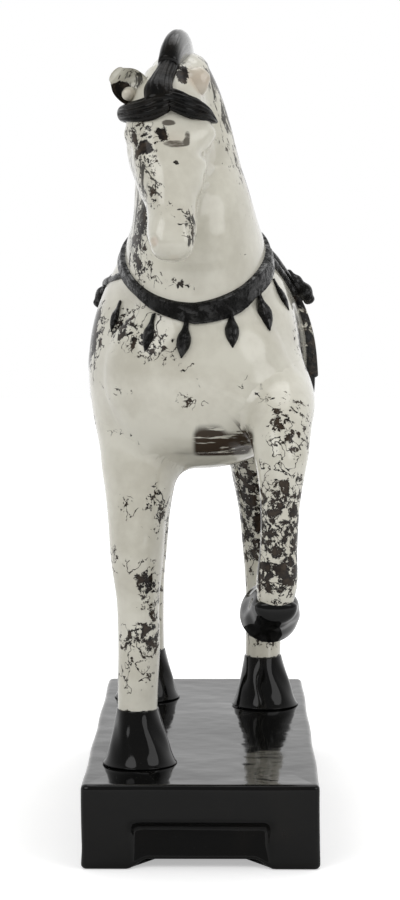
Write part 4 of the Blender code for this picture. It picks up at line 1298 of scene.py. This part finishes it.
# %% Lay points on the skin
FRONT_SKIN = ("barrel", "neck", "foreleg_left_raised")
LANDING_STEPS = 60
LANDING_PACE = 0.7


def land(start, way, names):
    """Sphere tracing: every step moves by a share of the distance that is left to the skin."""
    points = start.copy()
    for step in range(LANDING_STEPS):
        gap = skin_gap(points, names)[0]
        points = points + way * (LANDING_PACE * gap)[..., None]
    return points


def rounded_band(count, width, thick, buried, corner=0.3):
    """A flat loop: offsets across the band and above the skin, a squared ellipse sunk a little."""
    turn = turns_round(count)
    c, s = np.cos(turn), np.sin(turn)
    across = 0.5 * width * np.sign(c) * np.abs(c) ** corner
    above = 0.5 * (thick + buried) * np.sign(s) * np.abs(s) ** corner + 0.5 * (thick - buried)
    return across * MM, above * MM


print("landing steps:", LANDING_STEPS)

# %% [markdown]
# The breast collar is a flat satin band round the root of the neck. Its loop of section points is
# carried round the neck: each point goes along the spine by its place across the band, and out
# along the arm by the skin's reach plus its height above it. A strip cut from a sheet and wrapped would
# not follow the dents. The straps from the collar to the saddle are short, so plain lofts do for them.

# %% Breast collar and side straps
COLLAR_AT = 65.0
COLLAR_WIDTH = 7.8
COLLAR_FRONT = 0.74
COLLAR_LIFT = 1.0
COLLAR_UNEQUAL = 0.22
COLLAR_FAT = 1.4
COLLAR_FAT_AT = 0.3
COLLAR_FAT_WIDTH = 0.4
COLLAR_SPREAD = 1.3
COLLAR_WAVE = 0.35
COLLAR_THICK = 2.8
COLLAR_BURIED = 2.0
SIDE_STRAPS = {
    "side_strap_left": (
        (38.6, -85.5, 357),
        (43.2, -77.5, 351),
        (48, -67, 344.5),
        (53.5, -53, 336.5),
        (57, -46, 333),
    ),
    "side_strap_right": (
        (-45.5, -98, 345.5),
        (-51.5, -84, 342.3),
        (-58, -67, 339.5),
        (-59.5, -53, 335),
        (-62, -46, 332),
    ),
}
SECOND_STRAP = (
    (38.2, -84, 360.5),
    (43.2, -75, 355.5),
    (48.5, -63, 348.5),
    (53, -50, 342.5),
    (55, -45, 340),
)
STRAP_SECTION = (2.3, 3.2, 3.2, 2.6)
SECOND_SECTION = (1.6, 2.6, 2.6, 2.4)
STRAP_SIDE = (0, 0.6, 0.8)
STRAP_DOMES = (1.5, 1.5)
STRAP_GRID = (50, 48)
SECOND_GRID = (50, 40)
COLLAR_GRID = (28, 200)


def satin(name, points, nodes, ring=False):
    return piece(name, points, SATIN, "black_satin", nodes, ring)


def collar_band(loop, around):
    """Rows are the points of the band's section, columns go round the neck. Over the front half the
    band is wider on the left and narrower on the right by a sine of twice the turn, and lies higher."""
    across, above = rounded_band(loop, COLLAR_WIDTH, COLLAR_THICK, COLLAR_BURIED)
    turns = turns_round(around)
    front = np.clip(COLLAR_SPREAD * np.sin(turns), 0, 1)
    quarter = np.sin(2 * turns) * (np.sin(turns) > 0)
    narrow = (1 - (1 - COLLAR_FRONT) * front**2) * (1 + COLLAR_UNEQUAL * quarter)
    lift = COLLAR_LIFT * MM * np.abs(quarter)
    along = COLLAR_AT * MM + across[:, None] * narrow + lift
    spine, arm = NECK.arms(along.ravel(), turns)
    own = np.arange(around)
    spine = spine.reshape(loop, around, 3)
    arm = arm.reshape(loop, around, around, 3)[:, own, own]
    way, length = reach_skin(spine, arm, set(FRONT_SKIN))
    uneven = COLLAR_WAVE * MM * np.sin(5 * turns) * np.sin(2 * turns + 1)
    uneven = uneven + COLLAR_FAT * MM * np.exp(-(((turns - COLLAR_FAT_AT) / COLLAR_FAT_WIDTH) ** 2))
    out = length + above[:, None] + uneven[None] * (above[:, None] > 0)
    return spine + way * out[..., None]


def flat_strap(path, section):
    return Form([(*place, *section) for place in path], side=STRAP_SIDE, domes=STRAP_DOMES)


satin("satin_breast_collar", collar_band(*COLLAR_GRID), ("breast_collar",), ring=True)
for name, path in SIDE_STRAPS.items():
    satin("satin_" + name, lofted(flat_strap(path, STRAP_SECTION), *STRAP_GRID), (name,))
second = flat_strap(SECOND_STRAP, SECOND_SECTION)
satin("satin_second_strap_left", lofted(second, *SECOND_GRID), ("side_strap_left",))
print("collar width in mm:", COLLAR_WIDTH, "side straps:", len(SIDE_STRAPS) + 1)

# %% [markdown]
# Leaf drops hang from the collar and from the crupper straps. One drop is a short stalk that swells
# into a pointed leaf with a raised midrib, lofted from its top to its tip on the skin.

# %% Leaf drops
CHEST_DROPS = (
    (-49, 329, -54, 312, 0.6),
    (-28, 322, -33, 301, 0.8),
    (-8.5, 319, -11.5, 297.5, 1.0),
    (17.5, 324, 18.5, 303.5, 1.0),
    (34, 334, 40.5, 313, 1.0),
    (43.5, 342, 52.5, 324, 0.5),
)
DROP_STAND = 0.8
DROP_SHAPE = ((0.0, 1.5, 1.6), (0.2, 1.8, 2.2), (0.52, 4.3, 3.6), (0.78, 3.4, 3.2), (1.0, 0.7, 1.0))
DROP_DOMES = (0.6, 0.8)
DROP_GRID = (40, 40)
MIDRIB = 0.7
RIB_WIDTH = 0.04
CHEST_START = -190.0


def leaf_drop(top, tip, outward, wide=1.0):
    """A loft from top to tip whose outer side carries a narrow rib: arm plus MIDRIB near its front."""
    outward = np.array(outward, float)
    top, tip = (top + outward * DROP_STAND * MM) / MM, (tip + outward * DROP_STAND * MM) / MM
    run = tip - top
    side = np.cross(run, outward)
    rows = [(*(top + run * share), half * wide, thick, thick) for share, half, thick in DROP_SHAPE]
    form = Form(rows, side=side, domes=DROP_DOMES)
    spine, arm, share, turns = form.grid(*DROP_GRID)
    rib = MIDRIB * MM * np.exp(-((np.abs(np.sin(turns)) - 1) / RIB_WIDTH) ** 2)
    return spine + arm + unit(arm) * (rib * np.sin(share * np.pi))[..., None]


def chest_point(x, z):
    start = np.array([[x, CHEST_START, z]]) * MM
    return land(start, np.array([[0.0, 1.0, 0.0]]), set(FRONT_SKIN))[0]


for number, (top_x, top_z, tip_x, tip_z, wide) in enumerate(CHEST_DROPS, 1):
    drop = leaf_drop(chest_point(top_x, top_z), chest_point(tip_x, tip_z), (0, -1, 0), wide)
    satin(f"leaf_drop_chest_{number}", drop, (f"chest_pendant_{number}",))
print("chest drops:", len(CHEST_DROPS))

# %% [markdown]
# A crupper strap runs down each side of the rump from the saddle towards the tail. A path in the side
# view would stop where the rump turns to the rear. So the path is an angle round an upright axis in the
# rump and a height: every point of the band starts on a ring outside, lands along a level line towards
# the axis, and is then lifted away from the barrel's middle line by its height in the band.

# %% Crupper straps and rump drops
CRUPPER_AXIS = 70.0
CRUPPER_RADIUS = 70.0
CRUPPER = np.array(((-35, 341), (2, 327), (33, 313), (62, 300), (88.5, 293)), float)
CRUPPER_WIDTH = 7.0
CRUPPER_THICK = 2.4
CRUPPER_BURIED = 1.5
CRUPPER_BEND = 100.0
LANDING_RING = 120.0
CRUPPER_GRID = (90, 24)
SIDE_START = 100.0
RUMP_DROPS = (60, 84, 106)
RUMP_LINE = np.array(((40, 337), (72, 327), (106, 313)), float)
RUMP_DROP_GAP = 1.2
RUMP_DROP_LEAN = 2.0
RUMP_DROP_LENGTH = 19.0
BARREL_MIDDLE = 291.0
REAR_SKIN = ("barrel", "hind_leg_left", "hind_leg_right")


def side_point(sign, y, z):
    """Lands on the skin from the side, for whole arrays of y and z in millimetres."""
    start = np.stack([np.full_like(y, sign * SIDE_START), y, z], -1) * MM
    return land(start, np.array((-sign, 0.0, 0.0)), set(REAR_SKIN))


def crupper_strap(sign, stops, loop):
    """Rows follow the path, columns go round the band's section. The path is an angle round an upright
    axis in the rump and a height, so the strap runs on round the rear."""
    walk = np.linspace(0, 1, stops)
    path = spline(np.linspace(0, 1, len(CRUPPER)), CRUPPER, walk)
    path = np.stack([np.radians(path[:, 0]) * CRUPPER_RADIUS, path[:, 1]], 1)
    run = unit(np.gradient(path, axis=0))
    across, above = rounded_band(loop, CRUPPER_WIDTH, CRUPPER_THICK, CRUPPER_BURIED)
    turn = (path[:, :1] - run[:, 1:] * across[None] / MM) / CRUPPER_RADIUS
    z = (path[:, 1:] + run[:, :1] * across[None] / MM) * MM
    outward = np.stack([sign * np.cos(turn), np.sin(turn), 0 * turn], -1)
    axis = np.stack([0 * z, 0 * z + CRUPPER_AXIS * MM, z], -1)
    base = land(axis + outward * (LANDING_RING * MM), -outward, set(REAR_SKIN))
    bend = np.minimum(base[..., 1], CRUPPER_BEND * MM)
    middle = np.stack([0 * z, bend, 0 * z + BARREL_MIDDLE * MM], -1)
    return base + unit(base - middle) * above[None, :, None]


for side_name, sign in (("left", 1), ("right", -1)):
    strap = crupper_strap(sign, *CRUPPER_GRID)
    satin(f"satin_crupper_{side_name}", strap, (f"crupper_strap_{side_name}",))
    for number, y in enumerate(RUMP_DROPS, 1):
        z = np.interp(y, RUMP_LINE[:, 0], RUMP_LINE[:, 1]) - CRUPPER_WIDTH / 2 - RUMP_DROP_GAP
        ends = side_point(sign, np.array((y, y + RUMP_DROP_LEAN)), np.array((z, z - RUMP_DROP_LENGTH)))
        drop = leaf_drop(ends[0], ends[1], (sign, 0, 0))
        satin(f"leaf_drop_rump_{side_name}_{number}", drop, (f"rump_pendant_{side_name}_{number}",))
print("rump drops:", 2 * len(RUMP_DROPS))

# %% [markdown]
# Saddle cloth and saddle are clay slabs laid over the back: two layers of cloth, the upper one with a
# rolled hem, and the saddle on top. Each is a sheet with two parameters: along the horse from its front
# edge to its rear one, and round the barrel from one hem over the back to the other. Its height above
# the skin rises from below nought at the edge along a quarter circle, which rounds the edge. A Solidify
# modifier gives the sheet its underside. A cloth simulation could drape it, but fired clay is stiff.

# %% Saddle cloth and saddle
LEAN = 26.0
LEAN_TOP = 420.0
HEM_CORNER = 13.0
HEM_ROUND = 3.0
HEM_SUNK = 0.7
SHEET_BACK = 1.2
SHEET_START = 105.0
SIDE_REACH = 66.0
SIDE_SLACK = 2.0
WAVE_LENGTH = 9.0
CLOTH_EDGES = (-45.0, 37.0, 256.0)
CLOTH_RISE = 1.2
CLOTH_FLARE = 7.0
CLOTH_POWER = 3
CLOTH_WAVES = 0.3
CLOTH_GRID = (110, 190)
LAYER_EDGES = (-46.5, 38.5, 279.0)
LAYER_RISE = 2.2
LAYER_FLARE = 5.6
LAYER_POWER = 4
LAYER_WAVES = 0.4
HEM_ROLL = (3.2, 2.2, 1.2)
RIGHT_SIDE_SHARE = 0.6
SADDLE_EDGES = (-47.5, 42.0, 329.0)
SADDLE_RISE = 4.5
SADDLE_FLARE = 9.6
SADDLE_POWER = 3
SADDLE_GRID = (120, 150)
POMMEL = (-24.0, 7.0, 24.0, 0.42)
CANTLE = (28.0, 7.0, 20.0, 0.5)


def edge_spaced(count):
    """Numbers from 0 to 1 that crowd towards both ends: half of (1 - cos)."""
    return 0.5 - 0.5 * np.cos(np.linspace(0, np.pi, count))


def over_the_back(edges, rows, columns):
    """Lays the sheet: for each turn round the barrel the front and rear edges lean in and the
    lower corners are rounded, then arms from the barrel's middle line reach out to the skin."""
    front, rear, bottom = (edge * MM for edge in edges)
    deep = BARREL_MIDDLE * MM
    side_reach = SIDE_REACH * MM
    turn_end = np.arccos(np.clip((bottom - deep) / np.hypot(side_reach, bottom - deep), -1, 1))
    turn = (edge_spaced(columns) * 2 - 1) * turn_end
    height = deep + np.hypot(side_reach, SIDE_SLACK * MM) * np.cos(turn)
    low = np.clip((bottom + HEM_CORNER * MM - height) / (HEM_CORNER * MM), 0, 1)
    inward = HEM_CORNER * MM * (1 - np.sqrt(1 - low**2))
    leaning = LEAN * MM * np.clip((height - bottom) / (LEAN_TOP * MM - bottom), 0, 1)
    first, last = front + leaning + inward, rear - leaning - inward
    share = edge_spaced(rows)[:, None]
    y = first[None] + (last - first)[None] * share
    spine = np.stack([0 * y, y, np.full_like(y, deep)], -1)
    way = np.stack([np.sin(turn)[None] + 0 * y, 0 * y, np.cos(turn)[None] + 0 * y], -1)
    skin = land(spine + way * (SHEET_START * MM), -way, {"barrel"})
    ends = np.minimum(share * (last - first)[None], (1 - share) * (last - first)[None])
    hems = np.minimum(turn - turn[0], turn[-1] - turn)[None] * side_reach
    return skin, way, turn, y, np.minimum(ends, hems)


def rounded_height(edge, height):
    """Quarter-circle edge: from below the skin at the rim to the full height HEM_ROUND inside it."""
    t = np.clip(edge / (HEM_ROUND * MM), 0, 1)
    return (height + SHEET_BACK * MM) * np.sqrt(1 - (1 - t) ** 2) - SHEET_BACK * MM * HEM_SUNK


def ridge(y, turn, place, width, height, spread):
    """A crosswise ridge: a bell curve along the horse that dies away round the barrel."""
    bell = np.exp(-((y / MM - place) / width) ** 2)
    return height * MM * bell * np.exp(-((turn / spread) ** 4))[None]


def sheet_piece(name, points, material, node, rubbed):
    """An open grid, thickened downwards by a Solidify modifier."""
    rows, columns = points.shape[:2]
    index = np.arange(rows * columns).reshape(rows, columns)
    corners = (index[:-1, :-1], index[:-1, 1:], index[1:, 1:], index[1:, :-1])
    quads = np.stack(corners, -1).reshape(-1, 4)
    flat = points.reshape(-1, 3)
    middle = flat[quads[len(quads) // 2]]
    upward = np.cross(middle[1] - middle[0], middle[3] - middle[0])[2] > 0
    faces = quads[:, :: 1 if upward else -1].tolist()
    made = build(name, flat, faces, material, (node,), {"wear": rubbed})
    back = made.modifiers.new("underside", "SOLIDIFY")
    back.thickness = SHEET_BACK * MM
    back.offset = -1.0
    return made


def waved_cloth(edges, rise, flare, power, waves, roll=(1.0, 1.0, 0.0)):
    """A sheet whose height grows from the back to the flanks, with slow waves and a rolled hem:
    a bell curve at a short distance from the edge."""
    skin, way, turn, y, edge = over_the_back(edges, *CLOTH_GRID)
    fuller = np.where(turn > 0, flare, RIGHT_SIDE_SHARE * flare)
    height = rise + (fuller - rise)[None] * np.abs(turn / turn[-1])[None] ** power
    slow = np.sin(y / MM / WAVE_LENGTH + 4 * turn[None])
    height = height + waves * slow * np.sin(3 * turn)[None] ** 2
    inset, width, tall = roll
    height = height + tall * np.exp(-(((edge / MM - inset) / width) ** 2))
    return skin + way * rounded_height(edge, height * MM)[..., None]


CLOTH_RUB = (
    ((68, 0, 258), (24, 80, 9), 0.5),
    ((-68, 0, 258), (24, 80, 9), 0.5),
)
LAYER_RUB = (
    ((66, -40, 314), (16, 22, 13), 0.56),
    ((-66, -40, 314), (16, 22, 13), 0.56),
    ((70, 0, 296), (20, 50, 12), 0.4),
    ((-70, 0, 296), (20, 50, 12), 0.4),
)
under_cloth = waved_cloth(CLOTH_EDGES, CLOTH_RISE, CLOTH_FLARE, CLOTH_POWER, CLOTH_WAVES)
sheet_piece("mottled_under_cloth", under_cloth, CLOTH, "saddle_blanket", CLOTH_RUB)
top_cloth = waved_cloth(LAYER_EDGES, LAYER_RISE, LAYER_FLARE, LAYER_POWER, LAYER_WAVES, HEM_ROLL)
sheet_piece("mottled_top_cloth", top_cloth, CLOTH, "saddle_blanket", LAYER_RUB)

skin, way, turn, y, edge = over_the_back(SADDLE_EDGES, *SADDLE_GRID)
flare = SADDLE_RISE + (SADDLE_FLARE - SADDLE_RISE) * np.abs(turn / turn[-1])[None] ** SADDLE_POWER
height = flare * MM + ridge(y, turn, *POMMEL) + ridge(y, turn, *CANTLE)
saddle_points = skin + way * rounded_height(edge, height)[..., None]
sheet_piece("satin_saddle", saddle_points, SATIN, "saddle", ())
print("saddle rises to mm:", round(saddle_points[..., 2].max() / MM, 1))

# %% [markdown]
# The saddle's front corners end in fat rolls. A roll is a short sausage with round ends that follows
# the flank downwards, pinched a little along its length so that it looks tied.

# %% Rolls on the saddle
KNEE_ROLL = (
    (53, -45.5, 344, 4, 4, 4),
    (59, -45, 338, 5, 5, 5),
    (64.3, -44, 332.5, 5, 5, 5),
    (66.3, -43, 328.8, 4, 4, 4),
)
MIRROR = np.array((-1, 1, 1, 1, 1, 1))
ROLL_SHIFT = np.array((2.0, -1.0, -2.5, 0.6, 0.6, 0.6))
ROLL_DOMES = (3, 3)
ROLL_GRID = (50, 48)
PINCHES = 3
PINCH_DEPTH = 0.16


def pinched(form, rows, around):
    """A loft whose arms are shortened by a small wave along the spine."""
    spine, arm = form.grid(rows, around)[:2]
    wave = 1 - PINCH_DEPTH * np.sin(np.linspace(0, PINCHES * np.pi, len(spine))) ** 2
    return spine + arm * wave[:, None, None]


right_rows = np.array(KNEE_ROLL) * MIRROR + ROLL_SHIFT
for side_name, rows in (("left", KNEE_ROLL), ("right", right_rows)):
    roll = pinched(Form(rows, domes=ROLL_DOMES), *ROLL_GRID)
    satin(f"satin_knee_roll_{side_name}", roll, ("saddle",))
print("rolls: 2")

# %% [markdown]
# The dowels and leg rods are hidden inside the castings. They keep their solids and get steel.

# %% Steel inside
steel_names = [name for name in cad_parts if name.startswith(("dowel_", "leg_rod_"))]
for name in steel_names:
    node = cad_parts[name]
    node.data.materials.clear()
    node.data.materials.append(STEEL)
print("steel pins:", len(steel_names))
